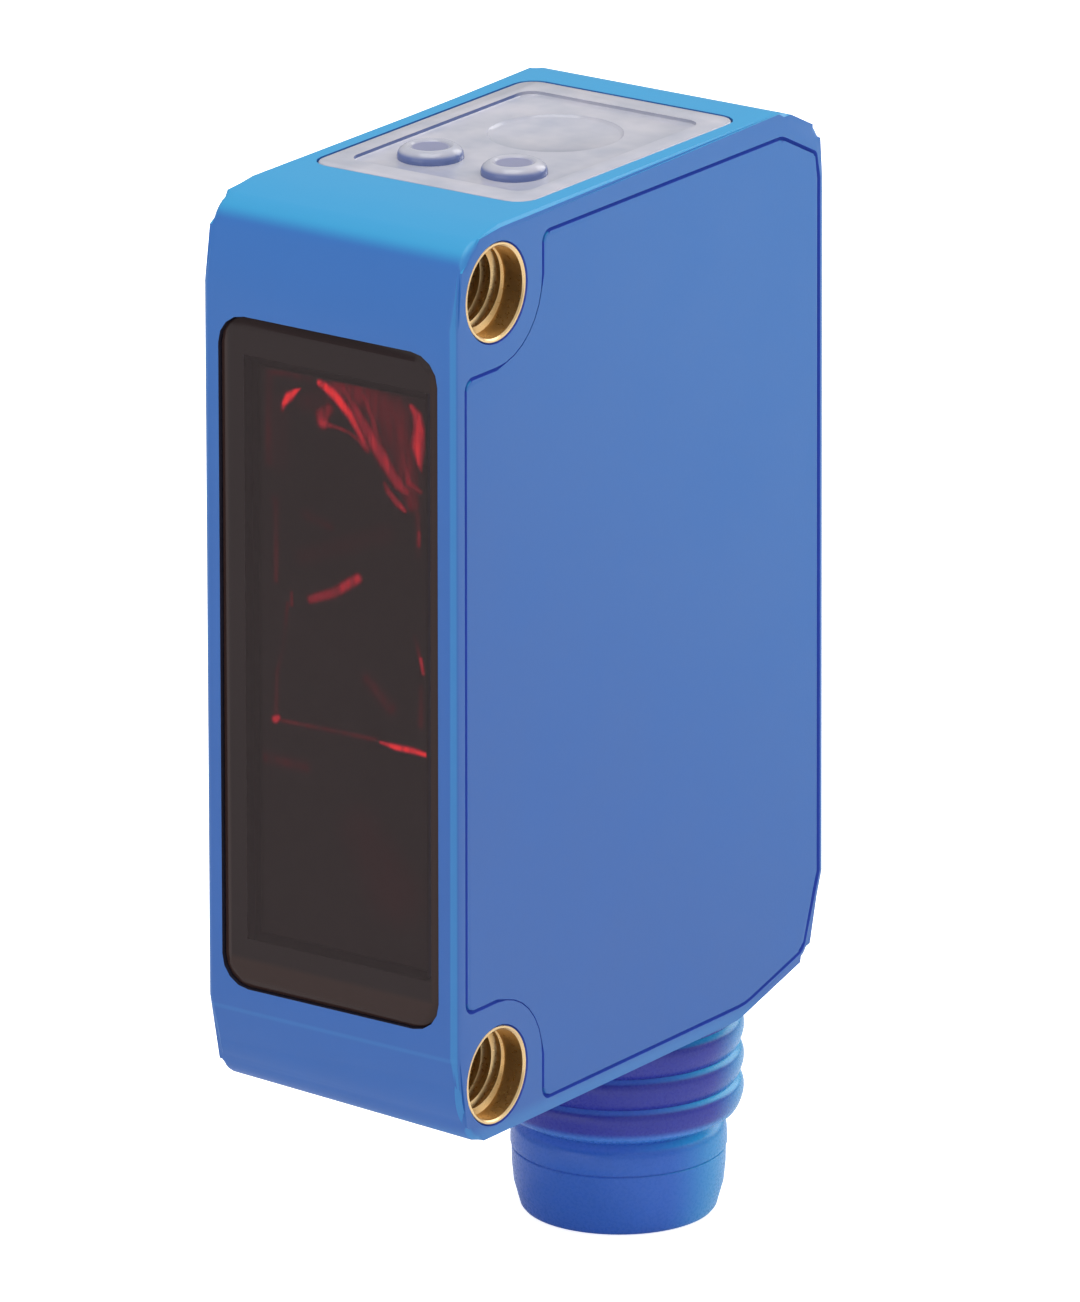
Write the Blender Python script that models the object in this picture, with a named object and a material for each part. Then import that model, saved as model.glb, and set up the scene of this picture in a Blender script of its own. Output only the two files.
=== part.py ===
"""Through-beam photoelectric sensor: compact receiver with M3 bushes and an M8 plug.

The origin is on the flat mounting side, midway between the two bushes. X runs across
the width to the side cover, -Y points out of the window and +Z points up. Sizes are
in millimetres and become metres when an object is made.
"""

import math

import bmesh
import bpy

MM = 0.001

# Housing, outline of the wide side
WIDTH = 9.6
DEPTH = 20.17
HOLE_PITCH = 25.4
HOLE_SETBACK = 2.25
TOP_EDGE = 2.15
BOTTOM_EDGE = 1.95
BROW_CREASE = 2.85
BROW_LEAN = 0.63
BROW_FALL = 0.38
BROW_RUN = 2.5
BROW_RADIUS = 1.2
CHIN_CREASE = 3.05
CHIN_LEAN = 0.83
CHIN_RADIUS = 0.9
CROWN_CREASE = 2.55
CROWN_LEAN = 0.57
CROWN_FALL = 0.92
CROWN_RUN = 2.42
CROWN_RADIUS = 0.8
CROWN_BREAK = 1.5
BACK_LEAN = 0.2
HEEL_CREASE = 3.75
HEEL_LEAN = 0.95
HEEL_RISE = 1.1
HEEL_RADIUS = 0.8
SLOPE_RUN = 4.82
SLOPE_RADIUS = 3.0
EDGE_FILLET = 0.25
TOP_DRAFT = 0.05
BOTTOM_DRAFT = 0.38

# Housing, walls
SIDE_WALL = 1.0
COVER_LEDGE = 0.6
INSERT_WALL = 2.5
INSERT_BOSS = 2.0
INSERT_BOSS_END = 1.83
INSERT_BOSS_EDGE = 0.15

# Side cover
COVER_THICKNESS = 0.55
COVER_MARGIN_FRONT = 0.68
COVER_MARGIN_TOP = 0.86
COVER_MARGIN_BACK = 0.4
COVER_MARGIN_BOTTOM = 0.52
COVER_CORNER = 0.3
COVER_GROOVE = 0.12
COVER_EDGE = 0.08
RIB_THICKNESS = 0.5

# Front window
WINDOW_SIDE_MARGIN = 0.62
WINDOW_TOP_MARGIN = 3.76
WINDOW_BOTTOM_MARGIN = 3.79
WINDOW_CORNER = 1.0
WINDOW_INSET = 0.06
WINDOW_BORDER = 0.3
WINDOW_BORDER_STEP = 0.07
WINDOW_SEAT = 0.4
WINDOW_REAR_BEVEL = 0.2
WINDOW_LEDGE = 0.65
WINDOW_THICKNESS = 0.8

# Indicator cover
LID_SIDE_MARGIN = 0.66
LID_FRONT_MARGIN = 4.58
LID_BACK_MARGIN = 3.83
LID_CORNER = 0.75
LID_RIM = 0.45
LID_LEDGE = 0.9
LID_THICKNESS = 0.95
LID_EDGE = 0.1
PANEL_MARGIN_SIDE = 0.75
PANEL_MARGIN_END = 1.2
PANEL_RECESS = 0.14
PANEL_CORNER = 0.55
DOME_PITCH = 3.2
DOME_INSET = 3.04
DOME_DIAMETER = 2.1
DOME_HEIGHT = 0.42
DOME_TOP_DIAMETER = 1.5
DOME_DISH = 0.1
LIGHT_PIPE_DIAMETER = 1.7
LIGHT_PIPE_LENGTH = 0.75
ROUND_MARK_DIAMETER = 4.3
ROUND_MARK_SHIFT = 0.19
ROUND_MARK_DEPTH = 0.1

# Threaded bushes
INSERT_CORE = 2.5
INSERT_MOUTH = 2.95
INSERT_COLLAR = 3.16
INSERT_KNURL = 3.26
INSERT_KNURL_DEPTH = 0.08
INSERT_COLLAR_LENGTH = 0.9
INSERT_GROOVE = 0.9
INSERT_RECESS = 0.03

# Plug connector, heights counted down from the housing's bottom
PLUG_INSET = 4.6
PLUG_BOSS_RADIUS = 3.8
PLUG_BOSS_STEP = 0.05
PLUG_BOSS_RISE = 2.65
SHANK_RADIUS = 3.15
SHANK_RISE = 2.45
BORE_RISE = 3.45
GASKET_THICKNESS = 0.3
GASKET_WIDTH = 0.4
COLLAR_BAND = 0.58
RING_COUNT = 3
RING_PITCH = 1.04
RING_CREST = 4.02
RING_NOTCH = 3.8
NECK_RADIUS = 3.2
NECK_LENGTH = 0.35
CUP_RADIUS = 3.49
CUP_FLARE = 0.75
CUP_BAND = 0.3
CUP_STEP = 0.05
CUP_LENGTH = 2.05
CUP_TIP_RADIUS = 3.2
CUP_TIP_EDGE = 0.25
CUP_BORE = 2.7

# Contacts and their carrier
CARRIER_FACE_DEPTH = 4.85
CARRIER_FLANGE = 0.4
CARRIER_FLANGE_RADIUS = 3.0
PIN_COUNT = 4
PIN_CIRCLE = 3.1
PIN_DIAMETER = 1.0
PIN_TAIL_DIAMETER = 0.6
PIN_TIP_DEPTH = 1.25
PIN_TAIL_RISE = 4.35
KEY_WIDTH = 0.8
KEY_HEIGHT = 1.2
KEY_DEPTH = 0.35

# Optics
OPTICS_SETBACK = 0.95
LENS_FRAME = 0.43
LENS_DROP = 2.24
LENS_HEIGHT = 11.3
LENS_CORNER = 0.3
LENS_RIM = 0.6
LENS_RIM_STEP = 0.3
LENS_THICKNESS = 3.2
LENS_RADIUS = 9.0
OPTICS_END_GAP = 0.25
OPTICS_DEPTH = 6.3
OPTICS_CORNER = 0.4
DIODE_HOLE = 3.0
POCKET_MARGIN = 0.7
POCKET_DEPTH = 1.3
POCKET_BAR = 0.5
POCKET_COUNT = 2

# Boards and parts on them
BOARD_THICKNESS = 0.8
SMALL_BOARD_THICKNESS = 0.6
BOARD_CORNER = 0.3
POST_HEIGHT = 1.3
POST_DIAMETER = 1.2
POST_INSET = 1.0
MAIN_BOARD_GAP = 0.4
MAIN_BOARD_DROP = 3.45
MAIN_BOARD_RISE = 5.25
PLUG_BOARD_SIDE = 5.2
OPTICS_BOARD_HEIGHT = 6.0
LED_LENGTH = 1.6
LED_LENS_LENGTH = 1.1
LED_WIDTH = 0.8
LED_HEIGHT = 0.45
LED_FOOT = 0.15
DIODE_SIZE = 2.6
DIODE_HEIGHT = 0.7
DIODE_EDGE = 0.1
SHIELD_REAR = 0.9
SHIELD_HEIGHT = 6.0
SHIELD_DEPTH = 2.2
SHIELD_WALL = 0.2
PART_SPACE = 0.9
CHIP_HEIGHT = 0.9
RECEIVER_IC_SIDE = 3.0
CONTROL_IC_SIDE = 4.0
PACKAGE_LENGTH = 2.9
PACKAGE_WIDTH = 1.6
PACKAGE_HEIGHT = 1.0
PACKAGE_LEADS = 6
LEAD_WIDTH = 0.25
LEAD_REACH = 0.33
LEAD_THICKNESS = 0.1
CAPACITOR_LENGTH = 3.2
CAPACITOR_WIDTH = 1.6
CAPACITOR_HEIGHT = 1.6
PART_CORNER = 0.15
FLEX_WIDTH = 3.0
FLEX_THICKNESS = 0.15
FLEX_BEND = 0.8
FLEX_LEG = 2.0

# Clearances
FIT_GAP = 0.05
SEAT_GAP = 0.1

# Fineness of round forms
ARC_STEP = math.radians(11)
ROOM_ARC_STEP = math.radians(23)
CORNER_STEPS = 4
FILLET_STEPS = 3
COVER_EDGE_STEPS = 2
RING_STEPS = 4
TURN_STEPS = 48
BUSH_STEPS = 36
DOME_STEPS = 18
PIN_STEPS = 12
LENS_TURNS = 60
SMOOTH_ANGLE = math.radians(32)
OVERSHOOT = 2.0

# Places worked out from the sizes above
MIDDLE = WIDTH / 2
FRONT = -HOLE_SETBACK
BACK = FRONT + DEPTH
HOLE_HEIGHT = HOLE_PITCH / 2
TOP_HEIGHT = HOLE_HEIGHT + TOP_EDGE
BOTTOM_DEPTH = HOLE_HEIGHT + BOTTOM_EDGE
COVER_INNER = WIDTH - COVER_THICKNESS
WINDOW_WIDTH = WIDTH - 2 * WINDOW_SIDE_MARGIN
WINDOW_TOP = TOP_HEIGHT - WINDOW_TOP_MARGIN
WINDOW_BOTTOM = BOTTOM_DEPTH - WINDOW_BOTTOM_MARGIN
WINDOW_MIDDLE = (WINDOW_TOP - WINDOW_BOTTOM) / 2
WINDOW_HEIGHT = WINDOW_TOP + WINDOW_BOTTOM
LID_WIDTH = WIDTH - 2 * LID_SIDE_MARGIN
LID_FRONT = FRONT + LID_FRONT_MARGIN
LID_BACK = BACK - LID_BACK_MARGIN
LID_MIDDLE = (LID_FRONT + LID_BACK) / 2
LID_LENGTH = LID_BACK - LID_FRONT
DOME_SETBACK = LID_FRONT + DOME_INSET
PLUG_SETBACK = BACK - PLUG_INSET
PLUG_BOSS_END = BOTTOM_DEPTH + PLUG_BOSS_STEP
PLUG_BOSS_TOP = BOTTOM_DEPTH - PLUG_BOSS_RISE
SHANK_TOP = BOTTOM_DEPTH - SHANK_RISE
BORE_TOP = BOTTOM_DEPTH - BORE_RISE
COLLAR_TOP = PLUG_BOSS_END + FIT_GAP
RING_TOP = COLLAR_TOP + COLLAR_BAND
NECK_DEPTH = RING_TOP + RING_COUNT * RING_PITCH + NECK_LENGTH
CUP_SHOULDER = NECK_DEPTH + CUP_FLARE
CUP_STEP_DEPTH = CUP_SHOULDER + CUP_BAND
CUP_TIP = CUP_STEP_DEPTH + CUP_LENGTH
CARRIER_FACE = CUP_TIP - CARRIER_FACE_DEPTH
PIN_TIP = CUP_TIP - PIN_TIP_DEPTH
PIN_TAIL_TOP = BOTTOM_DEPTH - PIN_TAIL_RISE
OPTICS_HALF = WINDOW_WIDTH / 2 - WINDOW_LEDGE - SEAT_GAP
OPTICS_LEFT = MIDDLE - OPTICS_HALF
OPTICS_RIGHT = MIDDLE + OPTICS_HALF
RIB_END = max(OPTICS_RIGHT, MIDDLE + SHANK_RADIUS) + SEAT_GAP
OPTICS_FRONT = FRONT + OPTICS_SETBACK
OPTICS_BACK = OPTICS_FRONT + OPTICS_DEPTH
LENS_WIDTH = 2 * (OPTICS_HALF - LENS_FRAME)
LENS_TOP = WINDOW_TOP - LENS_DROP
LENS_MIDDLE = LENS_TOP - LENS_HEIGHT / 2
BOARD_BACK = SIDE_WALL + POST_HEIGHT + FIT_GAP
BOARD_FACE = BOARD_BACK + BOARD_THICKNESS
SMALL_BOARD_LEFT = BOARD_FACE + SEAT_GAP
OPTICS_BOARD_FRONT = OPTICS_BACK + SEAT_GAP
OPTICS_BOARD_BACK = OPTICS_BOARD_FRONT + SMALL_BOARD_THICKNESS


def clear_scene():
    for old in list(bpy.data.objects):
        bpy.data.objects.remove(old, do_unlink=True)


def material(name, colour, roughness, metallic=0.0, alpha=1.0):
    made = bpy.data.materials.new(name)
    made.use_nodes = True
    shader = made.node_tree.nodes["Principled BSDF"]
    shader.inputs["Base Color"].default_value = (*colour, 1.0)
    shader.inputs["Roughness"].default_value = roughness
    shader.inputs["Metallic"].default_value = metallic
    shader.inputs["Alpha"].default_value = alpha
    made.diffuse_color = (*colour, alpha)
    return made


def make_object(name, shape, finish):
    """Turn a bmesh in millimetres into an object in metres."""
    bmesh.ops.remove_doubles(shape, verts=shape.verts, dist=0.0005)
    bmesh.ops.recalc_face_normals(shape, faces=shape.faces)
    for vertex in shape.verts:
        vertex.co *= MM
    mesh = bpy.data.meshes.new(name)
    shape.to_mesh(mesh)
    shape.free()
    mesh.shade_smooth()
    mesh.set_sharp_from_angle(angle=SMOOTH_ANGLE)
    made = bpy.data.objects.new(name, mesh)
    bpy.context.scene.collection.objects.link(made)
    if finish is not None:
        mesh.materials.append(finish)
    return made


def boolean(target, shape, operation, label):
    """Cut a shape from an object, join it on, or keep what they share."""
    tool = make_object(target.name + "_" + label, shape, None)
    tool.hide_render = True
    tool.display_type = "WIRE"
    step = target.modifiers.new(label, "BOOLEAN")
    step.operation = operation
    step.object = tool
    step.solver = "EXACT"


def cut(target, shape, label):
    boolean(target, shape, "DIFFERENCE", label)


def join(target, shape, label):
    boolean(target, shape, "UNION", label)


# Outlines

def turn_at(before, corner, after):
    """Positive where an anticlockwise outline turns left, an outer corner."""
    first = (corner[0] - before[0], corner[1] - before[1])
    second = (after[0] - corner[0], after[1] - corner[1])
    return first[0] * second[1] - first[1] * second[0]


def rounded(corners, arc_step=ARC_STEP):
    """Points of an outline whose corners (a, b, radius) are rounded by arcs."""
    points = []
    count = len(corners)
    for index, (a, b, radius) in enumerate(corners):
        if radius <= 0:
            points.append((a, b))
            continue
        before = corners[index - 1]
        after = corners[(index + 1) % count]
        start = math.atan2(before[1] - b, before[0] - a)
        end = math.atan2(after[1] - b, after[0] - a)
        opening = (end - start) % (2 * math.pi)
        if opening > math.pi:
            opening -= 2 * math.pi
        half = abs(opening) / 2
        middle = start + opening / 2
        reach = radius / math.sin(half)
        centre = (a + reach * math.cos(middle), b + reach * math.sin(middle))
        sweep = math.pi - abs(opening)
        steps = max(2, round(sweep / arc_step))
        first = start - math.copysign(math.pi / 2, opening)
        for step in range(steps + 1):
            angle = first - math.copysign(sweep, opening) * step / steps
            points.append((centre[0] + radius * math.cos(angle),
                           centre[1] + radius * math.sin(angle)))
    return points


def inset_corners(corners, margins):
    """Move each side of an anticlockwise outline inwards by its own margin."""
    count = len(corners)
    lines = []
    for index in range(count):
        a, b = corners[index][:2]
        c, d = corners[(index + 1) % count][:2]
        length = math.hypot(c - a, d - b)
        along = ((c - a) / length, (d - b) / length)
        margin = margins[index]
        lines.append(((a - along[1] * margin, b + along[0] * margin), along))
    moved = []
    for index in range(count):
        (a, b), (p, q) = lines[index - 1]
        (c, d), (r, s) = lines[index]
        share = ((c - a) * s - (d - b) * r) / (p * s - q * r)
        before = corners[index - 1]
        after = corners[(index + 1) % count]
        turn = math.copysign(1.0, turn_at(before, corners[index], after))
        radius = corners[index][2]
        if radius > 0:
            radius = max(radius - turn * margins[index], EDGE_FILLET / 2)
        moved.append((a + share * p, b + share * q, radius))
    return moved


def shrink(corners, margin):
    return inset_corners(corners, [margin] * len(corners))


def rounded_box(centre, size, radius, margin=0.0):
    """Rounded rectangle with the same number of points whatever its size."""
    half = (size[0] / 2 - margin, size[1] / 2 - margin)
    bend = min(max(radius - margin, FIT_GAP), half[0], half[1])
    points = []
    for quarter, (side, end) in enumerate(((1, 1), (-1, 1), (-1, -1), (1, -1))):
        for step in range(CORNER_STEPS + 1):
            angle = math.pi / 2 * (quarter + step / CORNER_STEPS)
            points.append((centre[0] + side * (half[0] - bend) + bend * math.cos(angle),
                           centre[1] + end * (half[1] - bend) + bend * math.sin(angle)))
    return points


def body_corners():
    """Outline of the housing's wide side in Y and Z, anticlockwise from the chin crease."""
    return [
        (FRONT, CHIN_CREASE - BOTTOM_DEPTH, 0),
        (FRONT + CHIN_LEAN, -BOTTOM_DEPTH, CHIN_RADIUS),
        (BACK - SLOPE_RUN, -BOTTOM_DEPTH, SLOPE_RADIUS),
        (BACK - HEEL_LEAN, HEEL_RISE - BOTTOM_DEPTH, HEEL_RADIUS),
        (BACK, HEEL_CREASE - BOTTOM_DEPTH, 0),
        (BACK - BACK_LEAN, TOP_HEIGHT - CROWN_CREASE, 0),
        (BACK - CROWN_LEAN, TOP_HEIGHT - CROWN_FALL, CROWN_RADIUS),
        (BACK - CROWN_RUN, TOP_HEIGHT, CROWN_BREAK),
        (FRONT + BROW_RUN, TOP_HEIGHT, 0),
        (FRONT + BROW_LEAN, TOP_HEIGHT - BROW_FALL, BROW_RADIUS),
        (FRONT, TOP_HEIGHT - BROW_CREASE, 0),
    ]


def cover_corners():
    """Outline of the side cover: the body's outline moved in, notched round the bushes."""
    margins = [
        COVER_MARGIN_FRONT,
        COVER_MARGIN_BOTTOM,
        COVER_MARGIN_BACK,
        COVER_MARGIN_BACK,
        COVER_MARGIN_BACK,
        COVER_MARGIN_BACK,
        COVER_MARGIN_TOP,
        COVER_MARGIN_TOP,
        COVER_MARGIN_TOP,
        COVER_MARGIN_FRONT,
        COVER_MARGIN_FRONT,
    ]
    inner = inset_corners(body_corners(), margins)
    front = FRONT + COVER_MARGIN_FRONT
    notch = HOLE_HEIGHT - INSERT_WALL
    bottom = inner[2][1]
    top = inner[7][1]
    return [
        (front, -notch, COVER_CORNER),
        (INSERT_WALL, -notch, INSERT_WALL),
        (INSERT_WALL, bottom, COVER_CORNER),
        *inner[2:8],
        (INSERT_WALL, top, COVER_CORNER),
        (INSERT_WALL, notch, INSERT_WALL),
        (front, notch, COVER_CORNER),
    ]


def cavity_corners():
    """Outline of the room behind the cover, one ledge inside it, its crown not creased."""
    corners = cover_corners()
    crown_crease = 6
    plain = corners[:crown_crease] + corners[crown_crease + 1:]
    return shrink(plain, COVER_LEDGE)


# Solids

def place(point, level, axis):
    """Point of an outline lifted to a level along X, Y or Z."""
    if axis == "X":
        return (level, point[0], point[1])
    if axis == "Y":
        return (point[0], level, point[1])
    return (point[0], point[1], level)


def stack(sections, axis):
    """Closed solid through outlines at rising levels, each with as many points."""
    shape = bmesh.new()
    rings = []
    for points, level in sections:
        rings.append([shape.verts.new(place(point, level, axis)) for point in points])
    count = len(rings[0])
    for lower, upper in zip(rings, rings[1:]):
        for index in range(count):
            following = (index + 1) % count
            shape.faces.new((lower[index], lower[following], upper[following], upper[index]))
    shape.faces.new(rings[0])
    shape.faces.new(rings[-1])
    return shape


def wall_between(outer, inner, low, high):
    """Closed wall along X between two outlines with as many points."""
    shape = bmesh.new()
    rings = []
    for points, level in ((outer, low), (outer, high), (inner, high), (inner, low)):
        rings.append([shape.verts.new(place(point, level, "X")) for point in points])
    count = len(outer)
    for index, ring in enumerate(rings):
        before = rings[index - 1]
        for step in range(count):
            following = (step + 1) % count
            shape.faces.new((before[step], before[following], ring[following], ring[step]))
    return shape


def prism(points, low, high, axis):
    return stack([(points, low), (points, high)], axis)


def block(low, high):
    """Box between two opposite corners."""
    points = [(low[0], low[1]), (high[0], low[1]), (high[0], high[1]), (low[0], high[1])]
    return prism(points, low[2], high[2], "Z")


def turned(profile, centre, axis, steps, knurl=0.0, knurled=()):
    """Solid of revolution of a closed profile (radius, level), or one ending on its axis."""
    shape = bmesh.new()
    rings = []
    for index, (radius, level) in enumerate(profile):
        if radius == 0:
            rings.append([shape.verts.new(place(centre, level, axis))])
            continue
        ring = []
        for step in range(steps):
            reach = radius
            if index in knurled and step % 2:
                reach -= knurl
            angle = 2 * math.pi * step / steps
            point = (centre[0] + reach * math.cos(angle), centre[1] + reach * math.sin(angle))
            ring.append(shape.verts.new(place(point, level, axis)))
        rings.append(ring)
    pairs = list(zip(rings, rings[1:]))
    if len(rings[0]) > 1 and len(rings[-1]) > 1:
        pairs.append((rings[-1], rings[0]))
    for lower, upper in pairs:
        for step in range(steps):
            following = (step + 1) % steps
            if len(lower) == 1:
                shape.faces.new((lower[0], upper[following], upper[step]))
            elif len(upper) == 1:
                shape.faces.new((lower[step], lower[following], upper[0]))
            else:
                shape.faces.new((lower[step], lower[following], upper[following], upper[step]))
    return shape


def rod(radius, centre, low, high, axis, steps):
    profile = [(0, low), (radius, low), (radius, high), (0, high)]
    return turned(profile, centre, axis, steps)


def ends_fillet(shape, levels, width, segments):
    """Round the edges of a prism's end faces at the given X levels."""
    chosen = []
    for edge in shape.edges:
        for level in levels:
            if all(abs(vertex.co.x - level) < FIT_GAP / 2 for vertex in edge.verts):
                chosen.append(edge)
    bmesh.ops.bevel(shape, geom=chosen, offset=width, segments=segments,
                    profile=0.5, affect="EDGES")


def drafted(shape):
    """Lean the top and the bottom inwards towards the flat side, as the mould releases."""
    for vertex in shape.verts:
        share = 1 - vertex.co.x / WIDTH
        height = vertex.co.z
        if height > 0:
            vertex.co.z -= TOP_DRAFT * share * (height / TOP_HEIGHT) ** 2
        else:
            vertex.co.z += BOTTOM_DRAFT * share * (height / BOTTOM_DEPTH) ** 2
    bmesh.ops.triangulate(shape, faces=shape.faces)
    return shape


# Casing

def window_sections(gap, front, rear):
    """Stepped outlines of the window: rim, rear bevel, then the part inside the ledge."""
    centre = (MIDDLE, WINDOW_MIDDLE)
    size = (WINDOW_WIDTH, WINDOW_HEIGHT)
    seat = FRONT + WINDOW_SEAT - gap
    waist = seat - WINDOW_REAR_BEVEL
    outline = {}
    for margin in (gap, gap + WINDOW_REAR_BEVEL, gap + WINDOW_LEDGE):
        outline[margin] = rounded_box(centre, size, WINDOW_CORNER, margin)
    return [
        (outline[gap], front),
        (outline[gap], waist),
        (outline[gap + WINDOW_REAR_BEVEL], seat),
        (outline[gap + WINDOW_LEDGE], seat),
        (outline[gap + WINDOW_LEDGE], rear),
    ]


def lid_sections(gap, bottom, top):
    """Stepped outlines of the indicator cover and of its recess, from below."""
    centre = (MIDDLE, LID_MIDDLE)
    size = (LID_WIDTH, LID_LENGTH)
    seat = TOP_HEIGHT - LID_RIM + gap
    body = rounded_box(centre, size, LID_CORNER, gap + LID_LEDGE)
    rim = rounded_box(centre, size, LID_CORNER, gap)
    return [(body, bottom), (body, seat), (rim, seat), (rim, top)]


def insert_profile(gap):
    """Outer profile of a bush, grown by a gap for its seat."""
    start = INSERT_RECESS
    end = WIDTH - INSERT_RECESS
    collar = INSERT_COLLAR / 2 + gap
    knurl = INSERT_KNURL / 2 + gap
    low = start + INSERT_COLLAR_LENGTH - gap
    high = end - INSERT_COLLAR_LENGTH + gap
    return start, end, collar, knurl, low, high


def bush_boss():
    """Tapered boss that carries the lower bush through the leaning bottom."""
    profile = [
        (0, FIT_GAP),
        (INSERT_BOSS_END - INSERT_BOSS_EDGE, FIT_GAP),
        (INSERT_BOSS_END, FIT_GAP + INSERT_BOSS_EDGE),
        (INSERT_BOSS, WIDTH - FIT_GAP - INSERT_BOSS_EDGE),
        (INSERT_BOSS - INSERT_BOSS_EDGE, WIDTH - FIT_GAP),
        (0, WIDTH - FIT_GAP),
    ]
    return turned(profile, (0, -HOLE_HEIGHT), "X", TURN_STEPS)


def build_housing(finish):
    shell = prism(rounded(body_corners()), 0, WIDTH, "X")
    ends_fillet(shell, (0, WIDTH), EDGE_FILLET, FILLET_STEPS)
    housing = make_object("housing", drafted(shell), finish)
    plug = (MIDDLE, PLUG_SETBACK)
    boss = rod(PLUG_BOSS_RADIUS, plug, -PLUG_BOSS_END, -PLUG_BOSS_TOP, "Z", TURN_STEPS)
    join(housing, boss, "plug_boss")
    join(housing, bush_boss(), "bush_boss")
    room = rounded(cavity_corners(), ROOM_ARC_STEP)
    cavity = prism(room, SIDE_WALL, WIDTH + OVERSHOOT, "X")
    cut(housing, cavity, "cavity")
    for number, centre in enumerate(post_centres()):
        post = rod(POST_DIAMETER / 2, centre, SIDE_WALL - FIT_GAP,
                   SIDE_WALL + POST_HEIGHT, "X", PIN_STEPS)
        join(housing, post, "board_post_%d" % (number + 1))
    rebate_outline = rounded(shrink(cover_corners(), -COVER_GROOVE))
    rebate_floor = COVER_INNER - FIT_GAP
    cut(housing, prism(rebate_outline, rebate_floor, WIDTH + OVERSHOOT, "X"), "cover_rebate")
    opening_rear = FRONT + COVER_MARGIN_FRONT + COVER_LEDGE + EDGE_FILLET
    opening = stack(window_sections(0, FRONT - OVERSHOOT, opening_rear), "Y")
    cut(housing, opening, "window_opening")
    lid_floor = max(corner[1] for corner in cavity_corners()) - FIT_GAP
    lid_recess = stack(lid_sections(0, lid_floor, TOP_HEIGHT + OVERSHOOT), "Z")
    cut(housing, drafted(lid_recess), "lid_opening")
    start, end, collar, knurl, low, high = insert_profile(FIT_GAP)
    for label, height in (("upper_bore", HOLE_HEIGHT), ("lower_bore", -HOLE_HEIGHT)):
        profile = [(0, -OVERSHOOT), (collar, -OVERSHOOT), (collar, low), (knurl, low),
                   (knurl, high), (collar, high), (collar, end + OVERSHOOT),
                   (0, end + OVERSHOOT)]
        cut(housing, turned(profile, (0, height), "X", BUSH_STEPS), label)
    bore = rod(SHANK_RADIUS + SEAT_GAP, plug, -CUP_TIP, -BORE_TOP, "Z", TURN_STEPS)
    cut(housing, bore, "plug_bore")


def build_side_cover(finish):
    plate = prism(rounded(cover_corners()), COVER_INNER, WIDTH, "X")
    ends_fillet(plate, (WIDTH,), COVER_EDGE, COVER_EDGE_STEPS)
    cover = make_object("side_cover", plate, finish)
    rib = shrink(cavity_corners(), SEAT_GAP)
    outer = rounded(rib, ROOM_ARC_STEP)
    inner = rounded(shrink(rib, RIB_THICKNESS), ROOM_ARC_STEP)
    root = COVER_INNER + COVER_THICKNESS / 2
    join(cover, wall_between(outer, inner, RIB_END, root), "rib")


def build_front_window(finish):
    face = FRONT + WINDOW_INSET
    rear = FRONT + WINDOW_THICKNESS
    sections = window_sections(FIT_GAP, face + WINDOW_BORDER_STEP, rear)
    panel = rounded_box((MIDDLE, WINDOW_MIDDLE), (WINDOW_WIDTH, WINDOW_HEIGHT),
                        WINDOW_CORNER, WINDOW_BORDER)
    make_object("front_window", stack([(panel, face)] + sections, "Y"), finish)


def build_indicator_cover(finish):
    top = TOP_HEIGHT
    sections = lid_sections(FIT_GAP, top - LID_THICKNESS, top - LID_EDGE)
    centre = (MIDDLE, LID_MIDDLE)
    shoulder = rounded_box(centre, (LID_WIDTH, LID_LENGTH), LID_CORNER, FIT_GAP + LID_EDGE)
    panel_size = (LID_WIDTH - 2 * PANEL_MARGIN_SIDE, LID_LENGTH - 2 * PANEL_MARGIN_END)
    panel_edge = rounded_box(centre, panel_size, PANEL_CORNER)
    panel_floor = rounded_box(centre, panel_size, PANEL_CORNER, PANEL_RECESS / 2)
    sections += [(shoulder, top), (panel_edge, top), (panel_floor, top - PANEL_RECESS)]
    lid = make_object("indicator_cover", drafted(stack(sections, "Z")), finish)
    floor = top - PANEL_RECESS
    mark = rod(ROUND_MARK_DIAMETER / 2, (MIDDLE, LID_MIDDLE + ROUND_MARK_SHIFT),
               floor - ROUND_MARK_DEPTH, top + OVERSHOOT, "Z", BUSH_STEPS)
    cut(lid, drafted(mark), "round_mark")
    pipe_end = top - LID_THICKNESS - LIGHT_PIPE_LENGTH
    crown = floor + DOME_HEIGHT
    for label, side in (("left_dome", -1), ("right_dome", 1)):
        spot = (MIDDLE + side * DOME_PITCH / 2, DOME_SETBACK)
        profile = [
            (0, pipe_end),
            (LIGHT_PIPE_DIAMETER / 2, pipe_end),
            (LIGHT_PIPE_DIAMETER / 2, floor - LID_RIM),
            (DOME_DIAMETER / 2, floor - LID_RIM / 2),
            (DOME_DIAMETER / 2, floor + DOME_HEIGHT / 3),
            (DOME_DIAMETER / 2 - DOME_DISH, crown - DOME_DISH),
            (DOME_TOP_DIAMETER / 2, crown),
            (DOME_TOP_DIAMETER / 2 - DOME_DISH, crown),
            (0, crown - DOME_DISH),
        ]
        join(lid, drafted(turned(profile, spot, "Z", DOME_STEPS)), label)


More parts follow.
